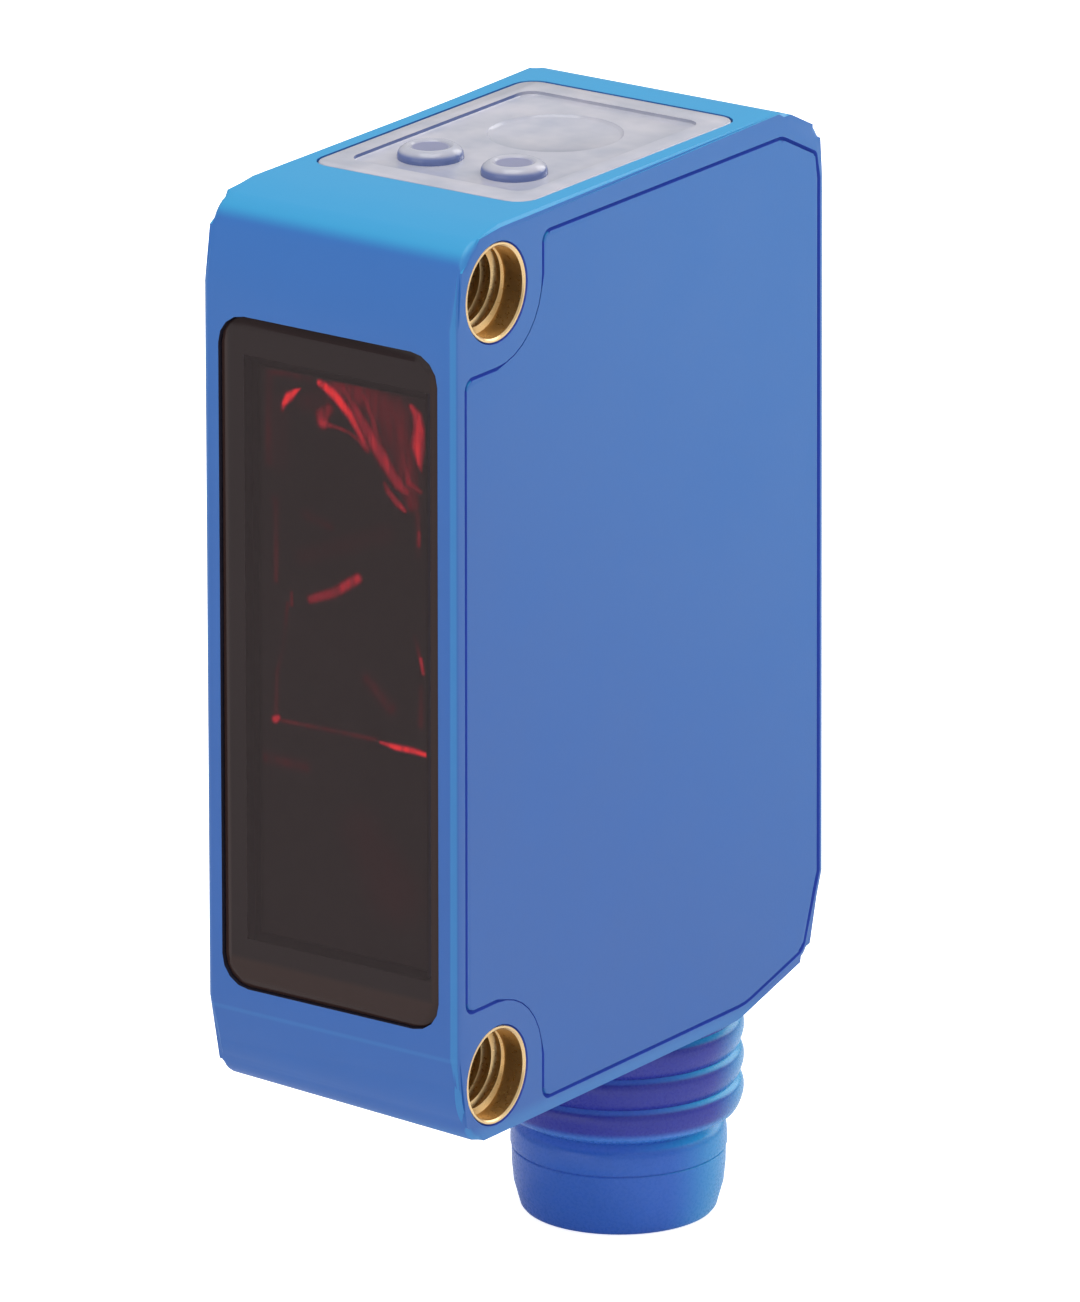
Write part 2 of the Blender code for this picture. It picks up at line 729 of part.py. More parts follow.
def build_insert(name, height, finish):
    start, end, collar, knurl, low, high = insert_profile(0)
    middle = WIDTH / 2
    core = INSERT_CORE / 2
    mouth = INSERT_MOUTH / 2
    chamfer = mouth - core
    groove = knurl - INSERT_KNURL_DEPTH
    profile = [
        (mouth, start),
        (collar, start),
        (collar, low),
        (knurl, low),
        (knurl, middle - INSERT_GROOVE / 2),
        (groove - INSERT_KNURL_DEPTH, middle - INSERT_GROOVE / 2),
        (groove - INSERT_KNURL_DEPTH, middle + INSERT_GROOVE / 2),
        (knurl, middle + INSERT_GROOVE / 2),
        (knurl, high),
        (collar, high),
        (collar, end),
        (mouth, end),
        (core, end - chamfer),
        (core, start + chamfer),
    ]
    shape = turned(profile, (0, height), "X", BUSH_STEPS, INSERT_KNURL_DEPTH, (3, 4, 7, 8))
    make_object(name, shape, finish)


# Plug connector

def ring_profile():
    """Scalloped rings from the collar down: round crests with sharp notches between."""
    points = [(RING_NOTCH, -COLLAR_TOP), (RING_NOTCH, -RING_TOP)]
    for ring in range(RING_COUNT):
        top = -RING_TOP - ring * RING_PITCH
        for step in range(1, RING_STEPS + 1):
            share = step / RING_STEPS
            radius = RING_NOTCH + (RING_CREST - RING_NOTCH) * math.sin(math.pi * share)
            points.append((radius, top - RING_PITCH * share))
    return points


def build_connector_shell(finish):
    step_low = CUP_STEP_DEPTH + CUP_STEP
    groove = SHANK_RADIUS + GASKET_WIDTH + 2 * FIT_GAP
    profile = [
        (SHANK_RADIUS, -SHANK_TOP),
        (SHANK_RADIUS, -COLLAR_TOP - GASKET_THICKNESS),
        (groove, -COLLAR_TOP - GASKET_THICKNESS),
        (groove, -COLLAR_TOP),
        *ring_profile(),
        (NECK_RADIUS, -NECK_DEPTH),
        (CUP_RADIUS - CUP_STEP, -(NECK_DEPTH + CUP_SHOULDER) / 2),
        (CUP_RADIUS, -CUP_SHOULDER),
        (CUP_RADIUS, -CUP_STEP_DEPTH),
        (CUP_RADIUS - CUP_STEP, -step_low),
        (CUP_RADIUS - CUP_STEP, -step_low - CUP_STEP),
        (CUP_TIP_RADIUS, -CUP_TIP + CUP_TIP_EDGE),
        (CUP_TIP_RADIUS - CUP_TIP_EDGE / 3, -CUP_TIP + CUP_TIP_EDGE / 3),
        (CUP_TIP_RADIUS - CUP_TIP_EDGE, -CUP_TIP),
        (CUP_BORE, -CUP_TIP),
        (CUP_BORE, -SHANK_TOP),
    ]
    shell = make_object("connector_shell",
                        turned(profile, (MIDDLE, PLUG_SETBACK), "Z", TURN_STEPS), finish)
    key_front = PLUG_SETBACK - CUP_BORE - KEY_DEPTH
    slot = block((MIDDLE - KEY_WIDTH / 2, key_front, -SHANK_TOP - KEY_HEIGHT),
                 (MIDDLE + KEY_WIDTH / 2, PLUG_SETBACK, -SHANK_TOP + OVERSHOOT))
    cut(shell, slot, "key_slot")


def build_connector_seal(finish):
    """Flat ring in the collar's groove, pressed against the housing's boss."""
    inner = SHANK_RADIUS + FIT_GAP
    outer = inner + GASKET_WIDTH
    low = -COLLAR_TOP - GASKET_THICKNESS + FIT_GAP
    high = -COLLAR_TOP
    profile = [(inner, low), (outer, low), (outer, high), (inner, high)]
    make_object("connector_seal",
                turned(profile, (MIDDLE, PLUG_SETBACK), "Z", BUSH_STEPS), finish)


def pin_centres():
    centres = []
    for number in range(PIN_COUNT):
        angle = 2 * math.pi * (number + 0.5) / PIN_COUNT
        centres.append((MIDDLE + PIN_CIRCLE / 2 * math.cos(angle),
                        PLUG_SETBACK + PIN_CIRCLE / 2 * math.sin(angle)))
    return centres


def build_contact_carrier(finish):
    plug = (MIDDLE, PLUG_SETBACK)
    body = CUP_BORE - FIT_GAP
    seat = -SHANK_TOP + FIT_GAP
    top = seat + CARRIER_FLANGE
    profile = [(0, -CARRIER_FACE), (body, -CARRIER_FACE), (body, seat),
               (CARRIER_FLANGE_RADIUS, seat), (CARRIER_FLANGE_RADIUS, top), (0, top)]
    carrier = make_object("contact_carrier", turned(profile, plug, "Z", BUSH_STEPS), finish)
    key_front = PLUG_SETBACK - CUP_BORE - KEY_DEPTH + FIT_GAP
    key = block((MIDDLE - KEY_WIDTH / 2 + FIT_GAP, key_front, -SHANK_TOP - KEY_HEIGHT + FIT_GAP),
                (MIDDLE + KEY_WIDTH / 2 - FIT_GAP, PLUG_SETBACK - CUP_BORE / 2, seat + FIT_GAP))
    join(carrier, key, "key")
    for number, centre in enumerate(pin_centres()):
        hole = rod(PIN_DIAMETER / 2 + FIT_GAP, centre, -CUP_TIP, -BORE_TOP + OVERSHOOT,
                   "Z", PIN_STEPS)
        cut(carrier, hole, "contact_hole_%d" % (number + 1))


def build_contact_pins(finish):
    shoulder = -SHANK_TOP + FIT_GAP
    radius = PIN_DIAMETER / 2
    tail = PIN_TAIL_DIAMETER / 2
    for number, centre in enumerate(pin_centres()):
        profile = [
            (0, -PIN_TIP),
            (radius / 2, -PIN_TIP + radius / 6),
            (radius, -PIN_TIP + radius),
            (radius, shoulder),
            (tail, shoulder + radius / 2),
            (tail, -PIN_TAIL_TOP),
            (0, -PIN_TAIL_TOP),
        ]
        make_object("contact_pin_%d" % (number + 1),
                    turned(profile, centre, "Z", PIN_STEPS), finish)


def build_connector_board(finish):
    low = -SHANK_TOP + 2 * FIT_GAP + CARRIER_FLANGE + SEAT_GAP
    points = rounded_box((MIDDLE, PLUG_SETBACK), (PLUG_BOARD_SIDE, PLUG_BOARD_SIDE),
                         BOARD_CORNER)
    board = make_object("connector_board",
                        prism(points, low, low + SMALL_BOARD_THICKNESS, "Z"), finish)
    for number, centre in enumerate(pin_centres()):
        hole = rod(PIN_TAIL_DIAMETER / 2 + FIT_GAP, centre, low - OVERSHOOT,
                   low + OVERSHOOT, "Z", PIN_STEPS)
        cut(board, hole, "contact_hole_%d" % (number + 1))


# Optics

def lens_box(margin, low, high):
    points = rounded_box((MIDDLE, LENS_MIDDLE), (LENS_WIDTH, LENS_HEIGHT), LENS_CORNER, margin)
    return [(points, low), (points, high)]


def build_optics_lens(finish):
    """Rectangular lens: flat front, thin seating rim and a round back."""
    rear = OPTICS_FRONT + LENS_THICKNESS
    sections = lens_box(LENS_RIM_STEP, OPTICS_FRONT, rear + OVERSHOOT)
    lens = make_object("optics_lens", stack(sections, "Y"), finish)
    ball = bmesh.new()
    bmesh.ops.create_uvsphere(ball, u_segments=LENS_TURNS, v_segments=LENS_TURNS * 2 // 3,
                              radius=LENS_RADIUS)
    for vertex in ball.verts:
        vertex.co.x += MIDDLE
        vertex.co.y += rear - LENS_RADIUS
        vertex.co.z += LENS_MIDDLE
    boolean(lens, ball, "INTERSECT", "round_back")
    join(lens, stack(lens_box(0, OPTICS_FRONT, OPTICS_FRONT + LENS_RIM), "Y"), "rim")


def build_optics_carrier(finish):
    """Black block behind the window: lens seat, tapering well and two blind pockets."""
    limit = HOLE_HEIGHT - INSERT_WALL - COVER_LEDGE - OPTICS_END_GAP
    outline = rounded_box((MIDDLE, 0), (2 * OPTICS_HALF, 2 * limit), OPTICS_CORNER)
    carrier = make_object("optics_carrier", prism(outline, OPTICS_FRONT, OPTICS_BACK, "Y"), finish)
    seat_depth = OPTICS_FRONT + LENS_RIM + FIT_GAP
    seat = stack(lens_box(-FIT_GAP, OPTICS_FRONT - OVERSHOOT, seat_depth), "Y")
    cut(carrier, seat, "lens_seat")
    lens_spot = (MIDDLE, LENS_MIDDLE)
    mouth = rounded_box(lens_spot, (LENS_WIDTH, LENS_HEIGHT), LENS_CORNER,
                        LENS_RIM_STEP - FIT_GAP)
    straight = OPTICS_FRONT + LENS_THICKNESS
    throat = rounded_box(lens_spot, (DIODE_HOLE, DIODE_HOLE), LENS_CORNER)
    well = stack([(mouth, seat_depth - FIT_GAP), (mouth, straight),
                  (throat, OPTICS_BACK + OVERSHOOT)], "Y")
    cut(carrier, well, "well")
    lens_bottom = LENS_TOP - LENS_HEIGHT
    space = limit + lens_bottom - 2 * POCKET_MARGIN
    height = (space - POCKET_BAR * (POCKET_COUNT - 1)) / POCKET_COUNT
    for number in range(POCKET_COUNT):
        top = lens_bottom - POCKET_MARGIN - number * (height + POCKET_BAR)
        pocket = block((OPTICS_LEFT + POCKET_MARGIN, OPTICS_FRONT - OVERSHOOT, top - height),
                       (OPTICS_RIGHT - POCKET_MARGIN, OPTICS_FRONT + POCKET_DEPTH, top))
        cut(carrier, pocket, "pocket_%d" % (number + 1))


def build_optics_board(finish):
    left = SMALL_BOARD_LEFT
    points = rounded_box(((left + OPTICS_RIGHT) / 2, LENS_MIDDLE),
                         (OPTICS_RIGHT - left, OPTICS_BOARD_HEIGHT), BOARD_CORNER)
    make_object("optics_board", prism(points, OPTICS_BOARD_FRONT, OPTICS_BOARD_BACK, "Y"), finish)


def build_receiver_diode(finish):
    rear = OPTICS_BOARD_FRONT - FIT_GAP
    spot = (MIDDLE, LENS_MIDDLE)
    size = (DIODE_SIZE, DIODE_SIZE)
    base = rounded_box(spot, size, LENS_CORNER)
    window = rounded_box(spot, size, LENS_CORNER, DIODE_EDGE)
    front = rear - DIODE_HEIGHT
    sections = [(window, front), (base, front + DIODE_EDGE), (base, rear)]
    make_object("receiver_diode", stack(sections, "Y"), finish)


# Electronics

def main_board_limits():
    front = OPTICS_BOARD_BACK + MAIN_BOARD_GAP
    back = max(corner[0] for corner in cavity_corners()) - MAIN_BOARD_GAP
    return front, back, MAIN_BOARD_RISE - BOTTOM_DEPTH, TOP_HEIGHT - MAIN_BOARD_DROP


def post_centres():
    """Four posts under the main board, in from its corners."""
    front, back, low, high = main_board_limits()
    centres = []
    for along in (front + POST_INSET, back - POST_INSET):
        for height in (low + POST_INSET, high - POST_INSET):
            centres.append((along, height))
    return centres


def build_main_board(finish):
    front, back, low, high = main_board_limits()
    points = rounded_box(((front + back) / 2, (low + high) / 2),
                         (back - front, high - low), BOARD_CORNER)
    make_object("main_board", prism(points, BOARD_BACK, BOARD_FACE, "X"), finish)


def shield_length():
    front, back, low, high = main_board_limits()
    return back - front - FLEX_LEG - SHIELD_REAR


def layout():
    """Places of the parts on the main board, in three evenly spaced rows from the top."""
    front, back, low, high = main_board_limits()
    gap = (high - low - SHIELD_HEIGHT - CONTROL_IC_SIDE - PACKAGE_WIDTH) / 4
    middle = (front + back) / 2
    shield = (front + FLEX_LEG + shield_length() / 2, high - gap - SHIELD_HEIGHT / 2)
    second = shield[1] - SHIELD_HEIGHT / 2 - gap - CONTROL_IC_SIDE / 2
    third = low + gap + PACKAGE_WIDTH / 2
    half_pitch = (PACKAGE_LENGTH + PART_SPACE) / 2
    return {
        "shield_can": shield,
        "receiver_ic": shield,
        "control_ic": (middle - (PART_SPACE + CAPACITOR_WIDTH) / 2, second),
        "supply_capacitor": (middle + (PART_SPACE + CONTROL_IC_SIDE) / 2, second),
        "supply_regulator": (middle - half_pitch, third),
        "output_driver": (middle + half_pitch, third),
    }


def build_chip(name, size, finish, leads=0):
    """Moulded package on the main board, with bent leads on two sides if it has any."""
    centre = layout()[name]
    foot = BOARD_FACE + FIT_GAP
    length, height, thick = size
    outline = rounded_box(centre, (length, height), PART_CORNER)
    waist = rounded_box(centre, (length, height), PART_CORNER, -FIT_GAP)
    base = foot + (FIT_GAP if leads else 0)
    sections = [(outline, base), (waist, base + thick / 2), (outline, base + thick)]
    chip = make_object(name, stack(sections, "X"), finish)
    level = foot + thick / 2
    pitch = 2 * length / max(leads, 1)
    for number in range(leads):
        side = -1 if number % 2 else 1
        along = centre[0] - length / 2 + pitch * (number // 2 + 0.5)
        inner = centre[1] + side * (height / 2 - FIT_GAP)
        knee = inner + side * LEAD_REACH
        toe = knee + side * LEAD_REACH
        lead = [
            (level, inner),
            (level, knee),
            (foot + LEAD_THICKNESS, knee + side * LEAD_THICKNESS / 2),
            (foot + LEAD_THICKNESS, toe),
            (foot, toe),
            (foot, knee - side * LEAD_THICKNESS / 2),
            (level - LEAD_THICKNESS, knee - side * LEAD_THICKNESS),
            (level - LEAD_THICKNESS, inner),
        ]
        shape = prism(lead, along - LEAD_WIDTH / 2, along + LEAD_WIDTH / 2, "Y")
        join(chip, shape, "lead_%d" % (number + 1))


def build_shield_can(finish):
    low = BOARD_FACE + FIT_GAP
    spot = layout()["shield_can"]
    size = (shield_length(), SHIELD_HEIGHT)
    outer = rounded_box(spot, size, EDGE_FILLET)
    brim = rounded_box(spot, size, EDGE_FILLET, SHIELD_WALL / 2)
    top = low + SHIELD_DEPTH
    can = make_object("shield_can",
                      stack([(outer, low), (outer, top - SHIELD_WALL / 2), (brim, top)], "X"),
                      finish)
    inner = rounded_box(spot, size, EDGE_FILLET, SHIELD_WALL)
    cut(can, prism(inner, low - OVERSHOOT, top - SHIELD_WALL, "X"), "inside")


def build_optics_flex(finish):
    """Thin link bent from the back of the optics board onto the main board."""
    near = OPTICS_BOARD_BACK + FIT_GAP
    low = BOARD_FACE + FIT_GAP
    reach = near + FLEX_BEND + MAIN_BOARD_GAP + FLEX_LEG / 2
    right = low + 2 * FLEX_LEG
    corners = [
        (low, near, FLEX_BEND),
        (right, near, 0),
        (right, near + FLEX_THICKNESS, 0),
        (low + FLEX_THICKNESS, near + FLEX_THICKNESS, FLEX_BEND - FLEX_THICKNESS),
        (low + FLEX_THICKNESS, reach, 0),
        (low, reach, 0),
    ]
    shape = prism(rounded(corners), LENS_MIDDLE - FLEX_WIDTH / 2,
                  LENS_MIDDLE + FLEX_WIDTH / 2, "Z")
    make_object("optics_flex", shape, finish)


def led_top():
    return TOP_HEIGHT - TOP_DRAFT - LID_THICKNESS - LIGHT_PIPE_LENGTH - SEAT_GAP


def build_indicator_board(finish):
    high = led_top() - LED_HEIGHT - FIT_GAP
    low = high - SMALL_BOARD_THICKNESS
    front = INSERT_WALL + COVER_LEDGE + SEAT_GAP
    back = DOME_SETBACK + ROUND_MARK_DIAMETER
    points = rounded_box((MIDDLE, (front + back) / 2), (2 * OPTICS_HALF, back - front),
                         BOARD_CORNER)
    make_object("indicator_board", prism(points, low, high, "Z"), finish)


def build_indicator_led(name, side, finish):
    high = led_top()
    low = high - LED_HEIGHT
    spot = (MIDDLE + side * DOME_PITCH / 2, DOME_SETBACK)
    size = (LED_LENGTH, LED_WIDTH)
    foot = rounded_box(spot, size, LED_FOOT)
    lens = rounded_box(spot, (LED_LENS_LENGTH, LED_WIDTH), LED_FOOT)
    sections = [(foot, low), (foot, low + LED_FOOT), (lens, low + LED_FOOT), (lens, high)]
    make_object(name, stack(sections, "Z"), finish)


def main():
    clear_scene()
    blue = (0.045, 0.17, 0.5)
    black = (0.012, 0.012, 0.014)
    green = (0.012, 0.12, 0.05)
    gold = (0.83, 0.58, 0.2)
    square = (RECEIVER_IC_SIDE, RECEIVER_IC_SIDE, CHIP_HEIGHT)
    large = (CONTROL_IC_SIDE, CONTROL_IC_SIDE, CHIP_HEIGHT)
    leaded = (PACKAGE_LENGTH, PACKAGE_WIDTH, PACKAGE_HEIGHT)
    block_size = (CAPACITOR_WIDTH, CAPACITOR_LENGTH, CAPACITOR_HEIGHT)
    build_housing(material("housing_blue", blue, 0.42))
    build_side_cover(material("cover_blue", blue, 0.45))
    build_front_window(material("filter_red", (0.06, 0.006, 0.008), 0.12, alpha=0.55))
    build_indicator_cover(material("clear_cover", (0.85, 0.87, 0.92), 0.12, alpha=0.35))
    brass = material("brass", (0.6, 0.4, 0.13), 0.28, 1.0)
    build_insert("upper_insert", HOLE_HEIGHT, brass)
    build_insert("lower_insert", -HOLE_HEIGHT, brass.copy())
    build_connector_shell(material("plug_blue", blue, 0.36))
    build_connector_seal(material("seal_rubber", black, 0.75))
    build_contact_carrier(material("insulator_black", black, 0.5))
    build_contact_pins(material("contact_gold", gold, 0.22, 1.0))
    build_connector_board(material("board_green_plug", green, 0.45))
    build_optics_lens(material("lens_clear", (0.8, 0.78, 0.8), 0.06, alpha=0.5))
    build_optics_carrier(material("optics_black", black, 0.4))
    build_optics_board(material("board_green_optics", green, 0.45))
    build_receiver_diode(material("diode_dark", (0.03, 0.005, 0.02), 0.15))
    build_main_board(material("board_green_main", green, 0.45))
    build_shield_can(material("shield_tin", (0.7, 0.7, 0.68), 0.3, 1.0))
    build_chip("receiver_ic", square, material("receiver_black", black, 0.5))
    build_chip("control_ic", large, material("controller_black", black, 0.5))
    build_chip("supply_regulator", leaded, material("regulator_black", black, 0.5),
               PACKAGE_LEADS)
    build_chip("output_driver", leaded, material("driver_black", black, 0.5), PACKAGE_LEADS)
    build_chip("supply_capacitor", block_size, material("capacitor_tan", (0.5, 0.3, 0.12), 0.4))
    build_optics_flex(material("flex_amber", (0.5, 0.22, 0.04), 0.35))
    build_indicator_board(material("board_green_top", green, 0.45))
    build_indicator_led("indicator_led_green", -1, material("led_green", (0.3, 0.8, 0.4), 0.3))
    build_indicator_led("indicator_led_yellow", 1, material("led_yellow", (0.9, 0.7, 0.1), 0.3))


main()
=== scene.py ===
"""Looks of a through-beam photoelectric sensor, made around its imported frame.

Lengths in the code are in millimetres and become metres where a piece is made.
The frame has X across the width, -Y out of the window and +Z up.
"""

import math

import bmesh
import bpy
import numpy as np
from mathutils import Matrix, Vector


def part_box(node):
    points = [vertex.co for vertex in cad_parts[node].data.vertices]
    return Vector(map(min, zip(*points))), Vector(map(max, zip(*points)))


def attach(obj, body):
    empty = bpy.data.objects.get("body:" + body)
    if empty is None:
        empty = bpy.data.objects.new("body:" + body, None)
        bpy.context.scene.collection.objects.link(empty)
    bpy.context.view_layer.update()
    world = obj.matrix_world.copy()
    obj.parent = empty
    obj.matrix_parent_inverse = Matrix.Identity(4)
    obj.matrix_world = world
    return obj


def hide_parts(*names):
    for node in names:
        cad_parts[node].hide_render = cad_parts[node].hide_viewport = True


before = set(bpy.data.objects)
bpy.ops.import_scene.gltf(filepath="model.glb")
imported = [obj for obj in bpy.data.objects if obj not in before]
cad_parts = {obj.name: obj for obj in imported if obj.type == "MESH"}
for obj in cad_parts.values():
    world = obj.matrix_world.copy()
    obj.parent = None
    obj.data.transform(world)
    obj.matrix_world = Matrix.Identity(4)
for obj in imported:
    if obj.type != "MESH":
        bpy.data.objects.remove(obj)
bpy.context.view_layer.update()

MM = 0.001
SMOOTH = math.radians(32)
THREAD_PITCH = 0.4
THREAD_TURNS = 30
THREAD_STEPS = 40
ROUND_STEPS = 96
DOME_STEPS = 64
PLUG_STEPS = 128
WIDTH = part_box("housing")[1][0] / MM
TOP_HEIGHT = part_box("housing")[1][2] / MM
TOP_LEAN = 0.05
RECESS_DEPTH = 0.14
DOME_PITCH = 3.2
DOME_SETBACK = 5.37
MARK_SETBACK = 9.8
MARK_RADIUS = 2.15
# Height at which the rings' painted violet shade gives way to the cup's blue.
RING_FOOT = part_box("connector_shell")[0][2] / MM + 3.63
# The chin's crease above the housing's foot, which gets a painted highlight, and the
# heights above the foot where the painted highlight on its lower edge starts and is full.
CREASE_RISE = 3.05
EDGE_TOP, EDGE_FULL = 0.65, 0.2


# Modelling helpers

def activate(piece):
    bpy.ops.object.select_all(action="DESELECT")
    piece.select_set(True)
    bpy.context.view_layer.objects.active = piece


def edit(piece):
    activate(piece)
    bpy.ops.object.mode_set(mode="EDIT")
    bpy.ops.mesh.select_mode(type="VERT")
    bpy.ops.mesh.select_all(action="DESELECT")


def leave():
    bpy.ops.object.mode_set(mode="OBJECT")


def choose_edges(piece, test):
    """Select the edges whose middle (mm) and direction pass the test, in edit mode."""
    bpy.ops.mesh.select_mode(type="EDGE")
    shape = bmesh.from_edit_mesh(piece.data)
    for edge in shape.edges:
        ends = [vertex.co / MM for vertex in edge.verts]
        along = (ends[1] - ends[0]).normalized()
        edge.select_set(test((ends[0] + ends[1]) / 2, along))
    shape.select_flush_mode()
    bmesh.update_edit_mesh(piece.data)


def settle(piece, name):
    """Name a piece and put its place into its mesh."""
    piece.name = name
    piece.data.name = name
    activate(piece)
    bpy.ops.object.transform_apply(location=True, rotation=True, scale=True)
    return piece


def apply_modifiers(piece):
    activate(piece)
    for step in list(piece.modifiers):
        bpy.ops.object.modifier_apply(modifier=step.name)


def clean(piece, angle=SMOOTH):
    """Merge doubles, turn the faces outwards and shade smooth up to an angle."""
    edit(piece)
    bpy.ops.mesh.select_all(action="SELECT")
    bpy.ops.mesh.remove_doubles(threshold=0.0002 * MM)
    bpy.ops.mesh.normals_make_consistent(inside=False)
    leave()
    bpy.ops.object.shade_smooth_by_angle(angle=angle)


def flatten(piece):
    """Let the wide faces set the shading, so that a fillet doesn't bend it."""
    step = piece.modifiers.new("weigh_normals", "WEIGHTED_NORMAL")
    step.mode = "FACE_AREA"
    step.weight = 80
    step.keep_sharp = True
    apply_modifiers(piece)


def skin_of(node, name):
    """A merged copy of a CAD node's mesh, smooth over its fillets."""
    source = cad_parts[node]
    piece = bpy.data.objects.new(name, source.data.copy())
    piece.data.name = name
    bpy.context.scene.collection.objects.link(piece)
    activate(piece)
    bpy.ops.mesh.customdata_custom_splitnormals_clear()
    clean(piece)
    flatten(piece)
    return piece


def combine(target, tool, operation):
    """Cut, join or keep what is shared, then drop the tool."""
    step = target.modifiers.new("combine", "BOOLEAN")
    step.operation = operation
    step.solver = "EXACT"
    step.object = tool
    apply_modifiers(target)
    bpy.data.objects.remove(tool, do_unlink=True)


def profile_line(points):
    """An open line of edges, grown point by point from one vertex."""
    bpy.ops.mesh.primitive_plane_add(size=MM)
    piece = bpy.context.active_object
    edit(piece)
    bpy.ops.mesh.select_all(action="SELECT")
    bpy.ops.mesh.merge(type="CENTER")
    at = Vector(points[0]) * MM
    bpy.ops.transform.translate(value=at)
    for point in points[1:]:
        to = Vector(point) * MM
        bpy.ops.mesh.extrude_vertices_move(TRANSFORM_OT_translate={"value": to - at})
        at = to
    leave()
    return piece


def turn(points, centre, axis, steps, name):
    """Spin a line of points (mm) once round an axis through a centre."""
    piece = profile_line(points)
    edit(piece)
    bpy.ops.mesh.select_all(action="SELECT")
    bpy.ops.mesh.spin(steps=steps, angle=2 * math.pi, center=Vector(centre) * MM, axis=axis)
    leave()
    clean(piece)
    return settle(piece, name)


def rounded_plate(name, low, high, radius, segments=8):
    """A block between two corners (mm) with round upright corners."""
    bpy.ops.mesh.primitive_cube_add(size=1, location=(Vector(low) + Vector(high)) / 2 * MM)
    plate = bpy.context.active_object
    plate.scale = (Vector(high) - Vector(low)) * MM
    settle(plate, name)
    edit(plate)
    choose_edges(plate, lambda middle, along: abs(along.z) > 0.9)
    bpy.ops.mesh.bevel(offset=radius * MM, segments=segments, affect="EDGES")
    leave()
    return plate


def dress(piece, finish, slot, *nodes):
    """Give a piece its finish, its body and the CAD nodes that it stands for."""
    piece.data.materials.clear()
    piece.data.materials.append(finish)
    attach(piece, "root")
    if nodes:
        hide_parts(*nodes)


def tint(piece, finish, test):
    """Give a second finish to the faces whose corners (mm) and normal pass the test."""
    piece.data.materials.append(finish)
    points = piece.data.vertices
    for face in piece.data.polygons:
        corners = [points[index].co / MM for index in face.vertices]
        if test(corners, face.normal):
            face.material_index = len(piece.data.materials) - 1


def refinish(node, finish):
    """Give a CAD node that keeps its own shape a new finish."""
    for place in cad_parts[node].material_slots:
        place.material = finish


# Material helpers

def group_shell(name, inputs, outputs):
    """An empty node group with named sockets: inputs (name, value), outputs (name, kind)."""
    tree = bpy.data.node_groups.new(name, "ShaderNodeTree")
    for label, value in inputs:
        kind = "NodeSocketColor" if isinstance(value, tuple) else "NodeSocketFloat"
        socket = tree.interface.new_socket(label, in_out="INPUT", socket_type=kind)
        socket.default_value = value
    for label, kind in outputs:
        tree.interface.new_socket(label, in_out="OUTPUT", socket_type=kind)
    return tree, tree.nodes.new("NodeGroupInput"), tree.nodes.new("NodeGroupOutput")


def add(tree, kind, **values):
    """A node with its properties, and with sockets set by label in 'at'."""
    node = tree.nodes.new(kind)
    for label, value in values.pop("at", {}).items():
        node.inputs[label].default_value = value
    for label, value in values.items():
        setattr(node, label, value)
    return node


def blend_colours(tree, factor, first, second):
    """A colour mix; each input is a socket or a plain colour."""
    mix = add(tree, "ShaderNodeMix", data_type="RGBA")
    for place, value in ((0, factor), (6, first), (7, second)):
        socket = mix.inputs[place]
        if isinstance(value, bpy.types.NodeSocket):
            tree.links.new(value, socket)
        else:
            socket.default_value = value
    return mix.outputs[2]


def map_range(tree, value, from_low, from_high, to_low=0.0, to_high=1.0, smooth=False):
    node = add(tree, "ShaderNodeMapRange",
               interpolation_type="SMOOTHSTEP" if smooth else "LINEAR")
    tree.links.new(value, node.inputs["Value"])
    for label, amount in (("From Min", from_low), ("From Max", from_high),
                          ("To Min", to_low), ("To Max", to_high)):
        node.inputs[label].default_value = amount
    return node.outputs["Result"]


def math_node(tree, operation, first, second):
    node = add(tree, "ShaderNodeMath", operation=operation)
    for socket, value in zip(node.inputs, (first, second)):
        if isinstance(value, bpy.types.NodeSocket):
            tree.links.new(value, socket)
        else:
            socket.default_value = value
    return node.outputs[0]


def start_material(name, **values):
    """A material with its Principled shader's plain values set."""
    made = bpy.data.materials.new(name)
    made.use_nodes = True
    shader = made.node_tree.nodes["Principled BSDF"]
    for label, value in values.items():
        shader.inputs[label.replace("_", " ")].default_value = value
    return made, made.node_tree, shader


def place_group(tree, group, **values):
    node = add(tree, "ShaderNodeGroup", node_tree=group)
    for label, value in values.items():
        node.inputs[label.replace("_", " ")].default_value = value
    return node


def object_place(tree):
    return tree.nodes.new("ShaderNodeTexCoord").outputs["Object"]


# Shared effects

def grain_group():
    """Fine spark-eroded grain of a mould: Height for bumps and a slow Shade."""
    tree, into, out = group_shell(
        "moulded_grain", [("Scale", 9000.0), ("Patch", 260.0)],
        [("Height", "NodeSocketFloat"), ("Shade", "NodeSocketFloat")])
    place = object_place(tree)
    fine = add(tree, "ShaderNodeTexNoise", at={"Detail": 3.0, "Roughness": 0.6})
    slow = add(tree, "ShaderNodeTexNoise", at={"Detail": 2.0, "Roughness": 0.5})
    for node, label in ((fine, "Scale"), (slow, "Patch")):
        tree.links.new(place, node.inputs["Vector"])
        tree.links.new(into.outputs[label], node.inputs["Scale"])
    tree.links.new(fine.outputs["Fac"], out.inputs["Height"])
    tree.links.new(slow.outputs["Fac"], out.inputs["Shade"])
    return tree


